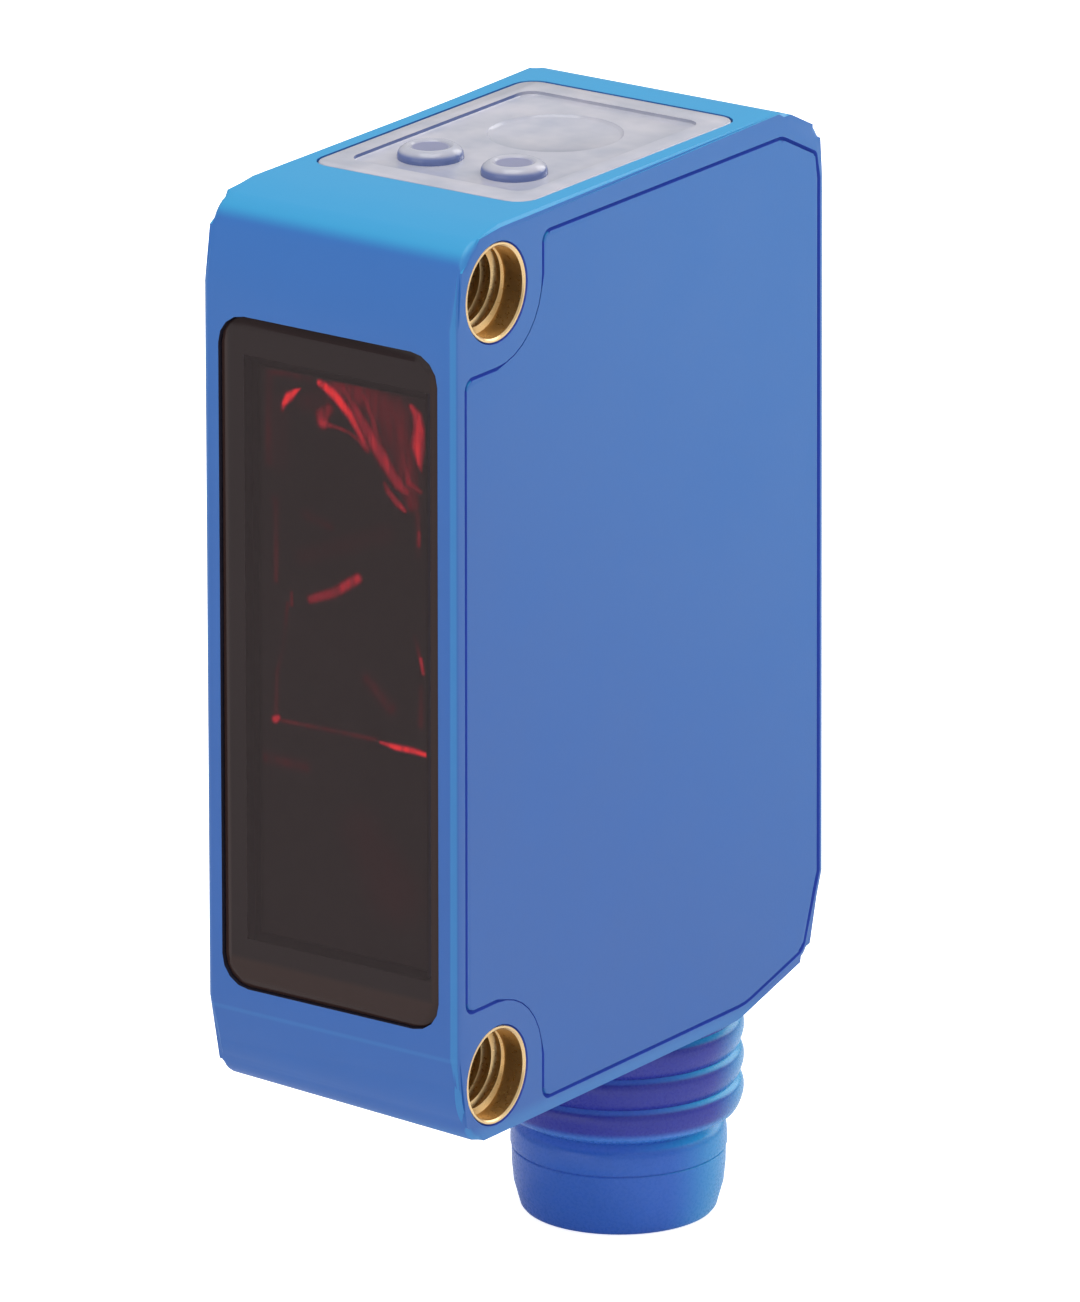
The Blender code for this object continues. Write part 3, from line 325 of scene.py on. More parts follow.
def slope_group():
    """How far a surface leans up or down, and where a fillet turns right or left."""
    tree, _, out = group_shell(
        "slope", [], [("Up", "NodeSocketFloat"), ("Down", "NodeSocketFloat"),
                      ("Right", "NodeSocketFloat"), ("Left", "NodeSocketFloat")])
    normal = tree.nodes.new("ShaderNodeNewGeometry").outputs["Normal"]
    split = add(tree, "ShaderNodeSeparateXYZ")
    tree.links.new(normal, split.inputs[0])
    height, across = split.outputs["Z"], split.outputs["X"]
    tree.links.new(map_range(tree, height, 0.38, 0.78, smooth=True), out.inputs["Up"])
    tree.links.new(map_range(tree, height, -0.78, -0.98, smooth=True), out.inputs["Down"])
    for label, side in (("Right", 1), ("Left", -1)):
        begin = map_range(tree, across, 0.15 * side, 0.45 * side, smooth=True)
        end = map_range(tree, across, 0.98 * side, 0.85 * side, smooth=True)
        tree.links.new(math_node(tree, "MULTIPLY", begin, end), out.inputs[label])
    return tree


GRAIN = grain_group()
SLOPE = slope_group()


def bump(tree, shader, height, strength, distance):
    node = add(tree, "ShaderNodeBump", at={"Strength": strength, "Distance": distance * MM})
    tree.links.new(height, node.inputs["Height"])
    tree.links.new(node.outputs["Normal"], shader.inputs["Normal"])


def blue_plastic(name, depth, rough, foot=None):
    """Cyan-blue moulded plastic with painted light: up-facing faces painted lighter cyan,
    down-facing faces painted violet shade, painted highlights on the fillets turned right
    or left, and a painted lighter gradient towards the top and back.

    With a foot height (mm) the lower edge and the chin's crease get painted highlights too.
    """
    made, tree, shader = start_material(name, IOR=1.5, Specular_IOR_Level=0.5)
    grain = place_group(tree, GRAIN)
    slope = place_group(tree, SLOPE)
    low = blend_colours(tree, map_range(tree, grain.outputs["Shade"], 0.3, 0.7),
                        (0.0155, 0.105, 0.390, 1), (0.0185, 0.112, 0.408, 1))
    # Painted light: lighter and more cyan towards the top and back, where the light falls.
    painted_light_axis = add(tree, "ShaderNodeVectorMath", operation="DOT_PRODUCT")
    tree.links.new(object_place(tree), painted_light_axis.inputs[0])
    painted_light_axis.inputs[1].default_value = (0, 0.65, 0.76)
    upper = map_range(tree, painted_light_axis.outputs["Value"], -6 * MM, 22 * MM, smooth=True)
    side = blend_colours(tree, upper, low, (0.0235, 0.157, 0.482, 1))
    # Painted highlights on fillets that turn to the right or to the left.
    right = blend_colours(tree, map_range(tree, slope.outputs["Right"], 0, 1, 0, 0.55),
                          side, (0.035, 0.260, 0.570, 1))
    left = blend_colours(tree, map_range(tree, slope.outputs["Left"], 0, 1, 0, 0.5),
                         right, (0.033, 0.190, 0.510, 1))
    # Painted light: up-facing faces turn lighter cyan, as if lit from above.
    up = blend_colours(tree, slope.outputs["Up"], left, (0.024, 0.310, 0.600, 1))
    if foot is not None:
        height = add(tree, "ShaderNodeSeparateXYZ")
        tree.links.new(object_place(tree), height.inputs[0])
        # Painted highlight along the housing's lower edge, just above its foot.
        edge = map_range(tree, height.outputs["Z"], (foot + EDGE_TOP) * MM,
                         (foot + EDGE_FULL) * MM, 0.0, 0.45, smooth=True)
        up = blend_colours(tree, edge, up, (0.040, 0.240, 0.560, 1))
        # Painted highlight along the chin's crease on the front.
        off_crease = math_node(tree, "ABSOLUTE", math_node(
            tree, "SUBTRACT", height.outputs["Z"], (foot + CREASE_RISE) * MM), 0.0)
        in_front = map_range(tree, height.outputs["Y"], -2.0 * MM, -2.2 * MM)
        crease = math_node(tree, "MULTIPLY", in_front, map_range(
            tree, off_crease, 0.12 * MM, 0.02 * MM, 0.0, 0.22, smooth=True))
        up = blend_colours(tree, crease, up, (0.040, 0.240, 0.560, 1))
    # Painted shade: down-facing faces turn violet-blue.
    down = blend_colours(tree, slope.outputs["Down"], up, (0.030, 0.040, 0.270, 1))
    tree.links.new(down, shader.inputs["Base Color"])
    gloss = map_range(tree, grain.outputs["Shade"], 0.3, 0.7, rough - 0.03, rough + 0.03)
    tree.links.new(gloss, shader.inputs["Roughness"])
    bump(tree, shader, grain.outputs["Height"], 0.35, depth)
    return made


def plug_plastic():
    """The plug's glossy blue plastic with painted light: violet shade on the rings under the
    body, lighter cyan on faces turned back or up, and a painted highlight round the neck.
    """
    made, tree, shader = start_material("plug_blue", IOR=1.5, Specular_IOR_Level=0.35)
    grain = place_group(tree, GRAIN)
    height = add(tree, "ShaderNodeSeparateXYZ")
    tree.links.new(object_place(tree), height.inputs[0])
    facing = add(tree, "ShaderNodeSeparateXYZ")
    tree.links.new(tree.nodes.new("ShaderNodeNewGeometry").outputs["Normal"], facing.inputs[0])
    cup = blend_colours(tree, map_range(tree, grain.outputs["Shade"], 0.3, 0.7),
                        (0.031, 0.128, 0.530, 1), (0.037, 0.142, 0.570, 1))
    rings = map_range(tree, height.outputs["Z"],
                      (RING_FOOT - 0.1) * MM, (RING_FOOT + 0.1) * MM)
    # Painted light: faces turned towards the back turn lighter cyan.
    cup_back = map_range(tree, facing.outputs["Y"], -0.50, 0.18, 0.0, 1.0, smooth=True)
    ring_back = map_range(tree, facing.outputs["Y"], -0.15, 0.42, 0.0, 1.0, smooth=True)
    # Painted highlight: a lighter band round the neck under the rings.
    off_neck = math_node(tree, "ABSOLUTE", math_node(
        tree, "SUBTRACT", height.outputs["Z"], (RING_FOOT - 0.2) * MM), 0.0)
    neck = map_range(tree, off_neck, 0.30 * MM, 0.10 * MM, 0.0, 0.8, smooth=True)
    cup = blend_colours(tree, neck, cup, (0.065, 0.210, 0.640, 1))
    cup = blend_colours(tree, cup_back, cup, (0.028, 0.280, 0.620, 1))
    # Painted shade on the rings under the body: deep violet-blue, painted cyan where they turn
    # back.
    ring = blend_colours(tree, ring_back, (0.035, 0.045, 0.340, 1), (0.021, 0.280, 0.610, 1))
    turned_back = blend_colours(tree, rings, cup, ring)
    # Painted light: up-facing faces turn lighter, light blue at the front to cyan at the back.
    above = map_range(tree, facing.outputs["Z"], 0.45, 0.80, smooth=True)
    round_back = map_range(tree, height.outputs["Y"], 10.4 * MM, 13.2 * MM, smooth=True)
    lip = blend_colours(tree, round_back,
                        (0.085, 0.200, 0.680, 1), (0.030, 0.420, 0.760, 1))
    lit = blend_colours(tree, above, turned_back, lip)
    tree.links.new(lit, shader.inputs["Base Color"])
    tree.links.new(map_range(tree, grain.outputs["Height"], 0.3, 0.7, 0.24, 0.32),
                   shader.inputs["Roughness"])
    bump(tree, shader, grain.outputs["Height"], 0.05, 0.001)
    return made


def plain_finish(name, colour, rough, metallic=0.0, darkest=0.8, depth=0.004, **values):
    """Any plain moulded or plated finish: a colour that drifts a little, over fine grain."""
    made, tree, shader = start_material(name, Metallic=metallic, **values)
    grain = place_group(tree, GRAIN)
    darker = tuple(part * darkest for part in colour) + (1,)
    base = blend_colours(tree, map_range(tree, grain.outputs["Shade"], 0.3, 0.7),
                         darker, (*colour, 1))
    tree.links.new(base, shader.inputs["Base Color"])
    gloss = map_range(tree, grain.outputs["Height"], 0.3, 0.7, rough * 0.85, rough * 1.15)
    tree.links.new(gloss, shader.inputs["Roughness"])
    bump(tree, shader, grain.outputs["Height"], 0.3, depth)
    return made


HOUSING_BLUE = blue_plastic("housing_blue", 0.006, 0.42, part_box("housing")[0][2] / MM)
COVER_BLUE = blue_plastic("cover_blue", 0.008, 0.46)
PLUG_BLUE = plug_plastic()
# The groove's weak emission is painted light, so the shaded groove is not black.
GROOVE_BLUE = plain_finish("groove_blue", (0.030, 0.060, 0.360), 0.5,
                           Emission_Color=(0.020, 0.048, 0.250, 1), Emission_Strength=0.55)
# Painted shade on the inner walls of the window opening.
OPENING_SHADE = plain_finish("opening_painted_shade", (0.016, 0.013, 0.030), 0.6)
BRASS = plain_finish("brass", (0.86, 0.62, 0.32), 0.30, metallic=1.0, darkest=0.75)
GOLD = plain_finish("contact_gold", (0.95, 0.66, 0.25), 0.2, metallic=1.0)
BLACK = plain_finish("insulator_black", (0.016, 0.016, 0.018), 0.45)
RUBBER = plain_finish("seal_rubber", (0.02, 0.02, 0.022), 0.75)
BOARD = plain_finish("board_white", (0.62, 0.64, 0.62), 0.4)
CHIP = plain_finish("chip_black", (0.02, 0.02, 0.022), 0.55)
TIN = plain_finish("shield_tin", (0.75, 0.75, 0.72), 0.3, metallic=1.0)
TAN = plain_finish("capacitor_tan", (0.45, 0.28, 0.13), 0.4)
AMBER = plain_finish("flex_amber", (0.5, 0.23, 0.04), 0.35)
DIODE = plain_finish("diode_dark", (0.03, 0.004, 0.012), 0.15)
GREEN_LED = plain_finish("led_green", (0.35, 0.75, 0.42), 0.3)
YELLOW_LED = plain_finish("led_yellow", (0.85, 0.68, 0.15), 0.3)
LENS_RED = plain_finish("lens_red", (0.02, 0.002, 0.003), 0.15, depth=0.0005,
                        Specular_IOR_Level=0.15)
WELL_BLACK = plain_finish("well_black", (0.006, 0.005, 0.005), 0.5, depth=0.0005,
                          Specular_IOR_Level=0.1)


def window_filter():
    """Smoked pane: clear enough in its middle, with an opaque border printed on its back."""
    print_half_width, print_half_height = 3.36, 9.30
    print_fade = 0.06
    made, tree, shader = start_material("window_filter", Roughness=0.07,
                                        Specular_IOR_Level=0.2)
    split = add(tree, "ShaderNodeSeparateXYZ")
    tree.links.new(object_place(tree), split.inputs[0])
    across = math_node(tree, "ABSOLUTE", math_node(
        tree, "SUBTRACT", split.outputs["X"], WIDTH / 2 * MM), 0.0)
    along = math_node(tree, "ABSOLUTE", split.outputs["Z"], 0.0)
    print_sides = map_range(tree, across, print_half_width * MM,
                            (print_half_width + print_fade) * MM)
    print_ends = map_range(tree, along, print_half_height * MM,
                           (print_half_height + print_fade) * MM)
    printed = math_node(tree, "MAXIMUM", print_sides, print_ends)
    behind = map_range(tree, split.outputs["Y"], -1.52 * MM, -1.50 * MM)
    back = math_node(tree, "MULTIPLY", printed, behind)
    front = map_range(tree, behind, 0, 1, 0.80, 0.0)
    # Where the view of the optics ends: axis, last clear place and first opaque one (mm).
    rim = None
    for socket, start, end in (("X", 1.75, 1.55), ("X", 8.56, 8.66),
                               ("Z", 9.75, 9.85), ("Z", -9.10, -9.20)):
        edge = map_range(tree, split.outputs[socket], start * MM, end * MM)
        rim = edge if rim is None else math_node(tree, "MAXIMUM", rim, edge)
    opaque = math_node(tree, "MAXIMUM", math_node(tree, "MAXIMUM", back, front), rim)
    tree.links.new(opaque, shader.inputs["Alpha"])
    grain = place_group(tree, GRAIN)
    base = blend_colours(tree, grain.outputs["Shade"], (0.021, 0.0125, 0.013, 1),
                         (0.025, 0.0150, 0.0155, 1))
    outer = math_node(
        tree, "MAXIMUM", map_range(tree, across, 3.80 * MM, 3.95 * MM, smooth=True),
        map_range(tree, split.outputs["Z"], -9.75 * MM, -10.0 * MM, smooth=True))
    brown = blend_colours(tree, outer, base, (0.034, 0.018, 0.016, 1))
    tree.links.new(brown, shader.inputs["Base Color"])
    return made


def clear_plastic():
    """Milky clear cover: pale on its flats, with a painted reflection of the blue body on its
    steep edges and painted shade in the dished tops of its domes.
    """
    made, tree, shader = start_material("clear_cover", Roughness=0.16,
                                        Transmission_Weight=0.35)
    grain = place_group(tree, GRAIN, Patch=700.0)
    flat = blend_colours(tree, map_range(tree, grain.outputs["Shade"], 0.3, 0.7),
                         (0.60, 0.62, 0.72, 1), (0.78, 0.76, 0.84, 1))
    facing = add(tree, "ShaderNodeSeparateXYZ")
    tree.links.new(tree.nodes.new("ShaderNodeNewGeometry").outputs["Normal"], facing.inputs[0])
    place = add(tree, "ShaderNodeSeparateXYZ")
    tree.links.new(object_place(tree), place.inputs[0])
    # Painted reflection of the blue body on the steep faces towards the front.
    steep = map_range(tree, facing.outputs["Z"], 0.80, 0.35, 0.0, 0.85, smooth=True)
    forward = map_range(tree, place.outputs["Y"], 12.2 * MM, 12.8 * MM,
                        1.0, 0.2, smooth=True)
    edges = blend_colours(tree, math_node(tree, "MULTIPLY", steep, forward), flat,
                          (0.10, 0.17, 0.48, 1))
    # Painted shade, grey-violet, in the dished tops of the two domes.
    off_axis = math_node(tree, "SUBTRACT", math_node(tree, "ABSOLUTE", math_node(
        tree, "SUBTRACT", place.outputs["X"], WIDTH / 2 * MM), 0.0), DOME_PITCH / 2 * MM)
    off_row = math_node(tree, "SUBTRACT", place.outputs["Y"], DOME_SETBACK * MM)
    away = math_node(tree, "SQRT", math_node(
        tree, "ADD", math_node(tree, "MULTIPLY", off_axis, off_axis),
        math_node(tree, "MULTIPLY", off_row, off_row)), 0.0)
    painted_dish_shade = map_range(tree, away, 0.66 * MM, 0.52 * MM, 0.0, 0.8, smooth=True)
    raised = map_range(tree, place.outputs["Z"], TOP_HEIGHT * MM, (TOP_HEIGHT + 0.1) * MM)
    base = blend_colours(tree, math_node(tree, "MULTIPLY", painted_dish_shade, raised), edges,
                         (0.26, 0.28, 0.50, 1))
    tree.links.new(base, shader.inputs["Base Color"])
    bump(tree, shader, grain.outputs["Height"], 0.2, 0.002)
    return made


def painted_glints():
    """Dark red lens face with painted red glints: emission where its glint attribute is high.
    """
    made, tree, shader = start_material("painted_glints", Roughness=0.6, Emission_Strength=3.7,
                                        Specular_IOR_Level=0.0)
    glow = add(tree, "ShaderNodeAttribute", attribute_name="GlintLevel").outputs["Fac"]
    turned = add(tree, "ShaderNodeMapping")
    turned.inputs["Rotation"].default_value = (0, math.radians(-36), 0)
    turned.inputs["Scale"].default_value = (4200, 4200, 600)
    tree.links.new(object_place(tree), turned.inputs["Vector"])
    streaks = add(tree, "ShaderNodeTexNoise",
                  at={"Scale": 1.0, "Detail": 3.0, "Roughness": 0.6})
    tree.links.new(turned.outputs["Vector"], streaks.inputs["Vector"])
    silk = map_range(tree, streaks.outputs["Fac"], 0.35, 0.65, 0.72, 1.15)
    level = math_node(tree, "MULTIPLY", glow, silk)
    ramp = tree.nodes.new("ShaderNodeValToRGB")
    ramp.color_ramp.elements[0].color = (0.007, 0.005, 0.005, 1)
    ramp.color_ramp.elements[1].color = (0.92, 0.024, 0.030, 1)
    for spot, colour in ((0.12, (0.018, 0.004, 0.005, 1)), (0.3, (0.090, 0.003, 0.007, 1)),
                         (0.55, (0.26, 0.008, 0.020, 1)), (0.8, (0.58, 0.016, 0.026, 1))):
        ramp.color_ramp.elements.new(spot).color = colour
    tree.links.new(level, ramp.inputs["Fac"])
    tree.links.new(ramp.outputs["Color"], shader.inputs["Emission Color"])
    base = blend_colours(tree, level, (0.004, 0.002, 0.002, 1), (0.05, 0.003, 0.004, 1))
    tree.links.new(base, shader.inputs["Base Color"])
    return made


WINDOW = window_filter()
CLEAR = clear_plastic()
PAINTED_GLINTS = painted_glints()

# Where the lens face gets painted red glints: lines of (X, Z, reach, strength), in mm.
PAINTED_GLINT_LINES = (
    ((3.86, 9.12, 0.17, 1.00), (4.28, 8.93, 0.23, 1.00), (4.66, 8.62, 0.22, 1.00),
     (4.97, 8.33, 0.21, 0.98), (5.28, 7.87, 0.16, 0.75), (5.61, 7.37, 0.18, 0.55)),
    ((4.76, 9.10, 0.13, 0.42), (5.37, 8.29, 0.24, 0.54), (5.84, 7.65, 0.31, 0.60),
     (6.36, 6.98, 0.31, 0.62), (6.83, 6.39, 0.27, 0.64), (7.12, 6.20, 0.18, 0.55)),
    ((5.52, 8.99, 0.13, 0.50), (5.85, 8.33, 0.16, 0.40), (6.08, 7.69, 0.18, 0.40)),
    ((6.70, 8.68, 0.18, 0.35), (6.93, 7.61, 0.22, 0.30), (7.21, 6.54, 0.18, 0.55),
     (7.66, 6.30, 0.12, 0.50)),
    ((7.34, 8.98, 0.13, 0.70), (7.55, 8.72, 0.23, 0.80), (7.62, 8.29, 0.27, 0.95),
     (7.57, 7.76, 0.36, 0.90), (7.64, 7.21, 0.16, 0.85), (7.71, 6.95, 0.06, 0.40)),
    ((6.31, 6.33, 0.11, 0.35), (6.45, 6.08, 0.15, 0.60), (6.78, 5.78, 0.17, 0.60),
     (7.07, 5.59, 0.11, 0.55)),
    ((2.39, 7.99, 0.11, 0.30), (2.44, 8.20, 0.13, 0.80), (2.66, 8.48, 0.20, 1.00),
     (2.90, 8.69, 0.12, 0.90), (3.10, 8.81, 0.04, 0.60)),
    ((4.18, 8.35, 0.27, 0.35), (3.90, 8.10, 0.31, 0.50), (3.94, 7.87, 0.27, 0.75)),
    ((4.18, 7.83, 0.12, 0.45), (4.56, 7.80, 0.09, 0.40), (4.94, 7.73, 0.09, 0.40),
     (5.32, 7.54, 0.10, 0.45), (5.65, 7.25, 0.11, 0.45)),
    ((1.90, 9.07, 0.18, 0.18), (1.88, 7.42, 0.20, 0.20), (1.88, 6.21, 0.22, 0.14)),
    ((1.85, 9.12, 0.13, 0.20), (2.57, 9.20, 0.16, 0.18), (3.48, 9.18, 0.18, 0.12)),
    ((2.10, 5.05, 0.20, 0.16), (2.14, 4.99, 0.16, 0.20), (2.12, 2.44, 0.15, 0.20)),
    ((2.71, 2.14, 0.08, 0.30), (2.71, 1.74, 0.10, 0.30)),
    ((3.45, 2.05, 0.20, 0.45), (4.33, 2.42, 0.23, 0.55), (5.27, 3.07, 0.22, 0.60)),
    ((2.56, 1.77, 0.10, 0.20), (2.37, 0.24, 0.08, 0.12), (2.14, -0.55, 0.12, 0.15),
     (2.09, -1.94, 0.15, 0.16)),
    ((2.05, -2.13, 0.18, 0.65), (2.17, -2.05, 0.15, 0.60)),
    ((2.31, -2.12, 0.11, 0.30), (3.98, -2.08, 0.12, 0.20), (5.89, -2.05, 0.12, 0.28)),
    ((6.11, -2.10, 0.08, 0.60), (6.70, -2.15, 0.14, 1.00), (7.35, -2.14, 0.15, 1.00),
     (7.90, -2.18, 0.11, 0.95)),
    ((7.56, 5.55, 0.18, 0.20), (7.56, 4.19, 0.14, 0.10)),
    ((7.60, 4.97, 0.12, 0.40), (7.59, 4.57, 0.12, 0.40)),
    ((7.44, 1.57, 0.11, 0.12), (7.62, 0.95, 0.11, 0.30)),
    ((7.66, 0.90, 0.10, 0.75), (7.76, 0.45, 0.10, 0.70)),
    ((7.69, 0.00, 0.12, 0.15), (7.65, -1.25, 0.18, 0.18)),
    ((5.60, -0.14, 0.27, 0.18), (6.48, -0.91, 0.33, 0.20)),
    ((1.60, -3.44, 0.27, 0.16), (3.23, -3.47, 0.27, 0.18)),
    ((3.28, 4.77, 0.23, 0.12), (4.23, 4.54, 0.16, 0.16)),
)
# Soft painted haze of glints that lies under the lines, in the same numbers.
PAINTED_GLINT_HAZE = (
    ((4.28, 9.13, 0.22, 0.33), (5.61, 8.97, 0.67, 0.33), (6.56, 8.54, 1.02, 0.31),
     (6.93, 7.61, 0.84, 0.29), (7.17, 6.65, 0.62, 0.30), (7.35, 5.88, 0.40, 0.32)),
    ((2.28, 8.17, 0.40, 0.08), (2.26, 6.36, 0.49, 0.06)),
    ((3.23, 8.42, 0.40, 0.12), (4.00, 8.56, 0.53, 0.14)),
    ((3.12, 3.37, 0.34, 0.08), (6.36, 4.71, 0.41, 0.07)),
    ((5.40, -5.20, 1.00, 0.08), (6.60, -6.90, 1.30, 0.10)),
)


# Housing and covers

def build_casing():
    housing = skin_of("housing", "housing_shell")
    dress(housing, HOUSING_BLUE, "housing", "housing")
    inner, outer = (corner / MM for corner in map(Vector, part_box("side_cover")))
    low, high = (corner / MM for corner in map(Vector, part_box("front_window")))

    def in_seam(corners, normal):
        return (inner.x - 0.15 < min(c.x for c in corners) < WIDTH - 0.3
                and inner.y - 0.35 < min(c.y for c in corners)
                and max(c.y for c in corners) < outer.y + 0.35
                and inner.z - 0.35 < min(c.z for c in corners)
                and max(c.z for c in corners) < outer.z + 0.35)

    def in_opening(corners, normal):
        return (abs(normal.y) < 0.9 and max(c.y for c in corners) < high.y + 0.1
                and low.x - 0.1 < min(c.x for c in corners)
                and max(c.x for c in corners) < high.x + 0.1
                and low.z - 0.1 < min(c.z for c in corners)
                and max(c.z for c in corners) < high.z + 0.1)

    tint(housing, GROOVE_BLUE, in_seam)
    # The window opening's inner walls get painted shade.
    tint(housing, OPENING_SHADE, in_opening)
    cover = skin_of("side_cover", "side_plate")
    dress(cover, COVER_BLUE, "housing", "side_cover")
    tint(cover, GROOVE_BLUE, lambda corners, normal: abs(normal.x) < 0.3)
    pane = skin_of("front_window", "window_pane")
    dress(pane, WINDOW, "filter", "front_window")


def build_lid():
    """Clear cover: rim, body, panel recess, round mark and two light domes."""
    low, high = (corner / MM for corner in map(Vector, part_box("indicator_cover")))
    width_middle = (low.x + high.x) / 2
    length_middle = (low.y + high.y) / 2
    top = TOP_HEIGHT
    floor = top - RECESS_DEPTH
    lid = rounded_plate("indicator_lid", (low.x, low.y, top - 0.4),
                        (high.x, high.y, top), 0.7)
    edit(lid)
    choose_edges(lid, lambda middle, along: middle.z > top - 0.01)
    bpy.ops.mesh.bevel(offset=0.09 * MM, segments=3, affect="EDGES")
    leave()
    body = rounded_plate("lid_body", (low.x + 0.9, low.y + 0.9, top - 0.94),
                         (high.x - 0.9, high.y - 0.9, top - 0.3), 0.3)
    combine(lid, body, "UNION")
    recess = rounded_plate("lid_recess", (low.x + 0.72, low.y + 1.0, floor),
                           (high.x - 0.72, high.y - 1.0, top + 1.0), 0.55)
    edit(recess)
    choose_edges(recess, lambda middle, along: middle.z < floor + 0.01)
    bpy.ops.mesh.bevel(offset=0.08 * MM, segments=3, affect="EDGES")
    leave()
    combine(lid, recess, "DIFFERENCE")
    mark_line = [(0, floor - 0.09), (MARK_RADIUS - 0.13, floor - 0.09),
                 (MARK_RADIUS - 0.07, floor - 0.07), (MARK_RADIUS, floor),
                 (MARK_RADIUS, top), (0, top)]
    mark = turn([(width_middle + r, MARK_SETBACK, z) for r, z in mark_line],
                (width_middle, MARK_SETBACK, 0), (0, 0, 1), ROUND_STEPS, "mark")
    combine(lid, mark, "DIFFERENCE")
    for side in (-1, 1):
        middle = width_middle + side * DOME_PITCH / 2
        line = [(0, low.z + 0.02), (0.8, low.z + 0.02), (0.85, low.z + 0.07),
                (0.85, floor - 0.5), (1.05, floor - 0.2), (1.05, floor + 0.08),
                (1.03, floor + 0.18),
                (0.98, floor + 0.27), (0.88, floor + 0.35), (0.78, floor + 0.40),
                (0.72, floor + 0.41), (0.68, floor + 0.40), (0.60, floor + 0.34),
                (0, floor + 0.32)]
        dome = turn([(middle + r, DOME_SETBACK, z) for r, z in line],
                    (middle, DOME_SETBACK, 0), (0, 0, 1), DOME_STEPS, "dome")
        combine(lid, dome, "UNION")
    lean = math.atan(TOP_LEAN / WIDTH)
    hinge = Vector((WIDTH, 0, top)) * MM
    lid.matrix_world = (Matrix.Translation(hinge) @ Matrix.Rotation(-lean, 4, "Y")
                        @ Matrix.Translation(-hinge))
    settle(lid, "indicator_lid")
    clean(lid, math.radians(28))
    dress(lid, CLEAR, "clear", "indicator_cover")


def glow_at(x, z, lines):
    """Strongest painted glint at a point: soft strokes between the points of each line."""
    core, fall = 1.15, 0.9
    best = np.zeros_like(x)
    for line in lines:
        for (x0, z0, r0, s0), (x1, z1, r1, s1) in zip(line, line[1:]):
            length = (x1 - x0) ** 2 + (z1 - z0) ** 2
            share = np.clip(((x - x0) * (x1 - x0) + (z - z0) * (z1 - z0)) / length, 0, 1)
            away = np.hypot(x - x0 - share * (x1 - x0), z - z0 - share * (z1 - z0))
            fade = np.clip(core - fall * away / (r0 + share * (r1 - r0)), 0, 1)
            best = np.maximum(best, (s0 + share * (s1 - s0)) * fade * fade * (3 - 2 * fade))
    return best


def build_optics():
    """Lens block, and the finely faceted face whose painted red glints show in the window."""
    block = skin_of("optics_lens", "lens_block")
    dress(block, LENS_RED, "lens", "optics_lens")
    low, high = (corner / MM for corner in map(Vector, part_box("optics_carrier")))
    size = high - low
    columns, rows = 130, 340
    margin, gap, relief, thickness = 0.1, 0.03, 0.02, 0.02
    bpy.ops.mesh.primitive_grid_add(x_subdivisions=columns, y_subdivisions=rows, size=1)
    face = bpy.context.active_object
    face.scale = ((size.x - margin) * MM, (size.z - margin) * MM, 1)
    bpy.ops.object.transform_apply(location=False, rotation=False, scale=True)
    face.rotation_euler = (math.radians(90), 0, 0)
    face.location = ((low.x + high.x) / 2 * MM, (low.y - gap) * MM,
                     (low.z + high.z) / 2 * MM)
    settle(face, "lens_face")
    places = np.empty(len(face.data.vertices) * 3)
    face.data.vertices.foreach_get("co", places)
    places = places.reshape(-1, 3)
    x, z = places[:, 0] / MM, places[:, 2] / MM
    glow = np.maximum(glow_at(x, z, PAINTED_GLINT_LINES), glow_at(x, z, PAINTED_GLINT_HAZE))
    places[:, 1] -= glow * relief * MM
    face.data.vertices.foreach_set("co", places.ravel())
    mark = face.data.attributes.new("GlintLevel", "FLOAT", "POINT")
    mark.data.foreach_set("value", glow)
    face.data.update()
    edit(face)
    bpy.ops.mesh.select_mode(type="EDGE")
    bpy.ops.mesh.select_non_manifold()
    bpy.ops.mesh.extrude_edges_move(
        TRANSFORM_OT_translate={"value": (0, thickness * MM, 0)})
    bpy.ops.mesh.edge_face_add()
    bpy.ops.mesh.select_all(action="SELECT")
    bpy.ops.mesh.normals_make_consistent(inside=False)
    leave()
    bpy.ops.object.shade_smooth_by_angle(angle=SMOOTH)
    dress(face, PAINTED_GLINTS, "lens")


# Threaded bushes

def thread_tap(name, x_start, height):
    """A rod with the outside shape of an M3 thread, to cut the bush with."""
    root, crest = 1.235, 1.42
    flat = THREAD_PITCH * 0.10
    slope = THREAD_PITCH * 0.24
    line = [(x_start, 0, root), (x_start + flat, 0, root),
            (x_start + flat + slope, 0, crest),
            (x_start + THREAD_PITCH - slope, 0, crest), (x_start + THREAD_PITCH, 0, root)]
    tap = profile_line(line)
    step = tap.modifiers.new("helix", "SCREW")
    step.axis = "X"
    step.angle = 2 * math.pi
    step.screw_offset = THREAD_PITCH * MM
    step.iterations = THREAD_TURNS
    step.steps = step.render_steps = THREAD_STEPS
    step.use_merge_vertices = True
    step.merge_threshold = 0.0005 * MM
    apply_modifiers(tap)
    edit(tap)
    bpy.ops.mesh.select_all(action="SELECT")
    bpy.ops.mesh.remove_doubles(threshold=0.0005 * MM)
    bpy.ops.mesh.select_all(action="DESELECT")
    bpy.ops.mesh.select_mode(type="EDGE")
    bpy.ops.mesh.select_non_manifold()
    bpy.ops.mesh.fill(use_beauty=False)
    bpy.ops.mesh.select_all(action="SELECT")
    bpy.ops.mesh.normals_make_consistent(inside=False)
    bpy.ops.transform.translate(value=(0, 0, height * MM))
    leave()
    tap.name = name
    return tap


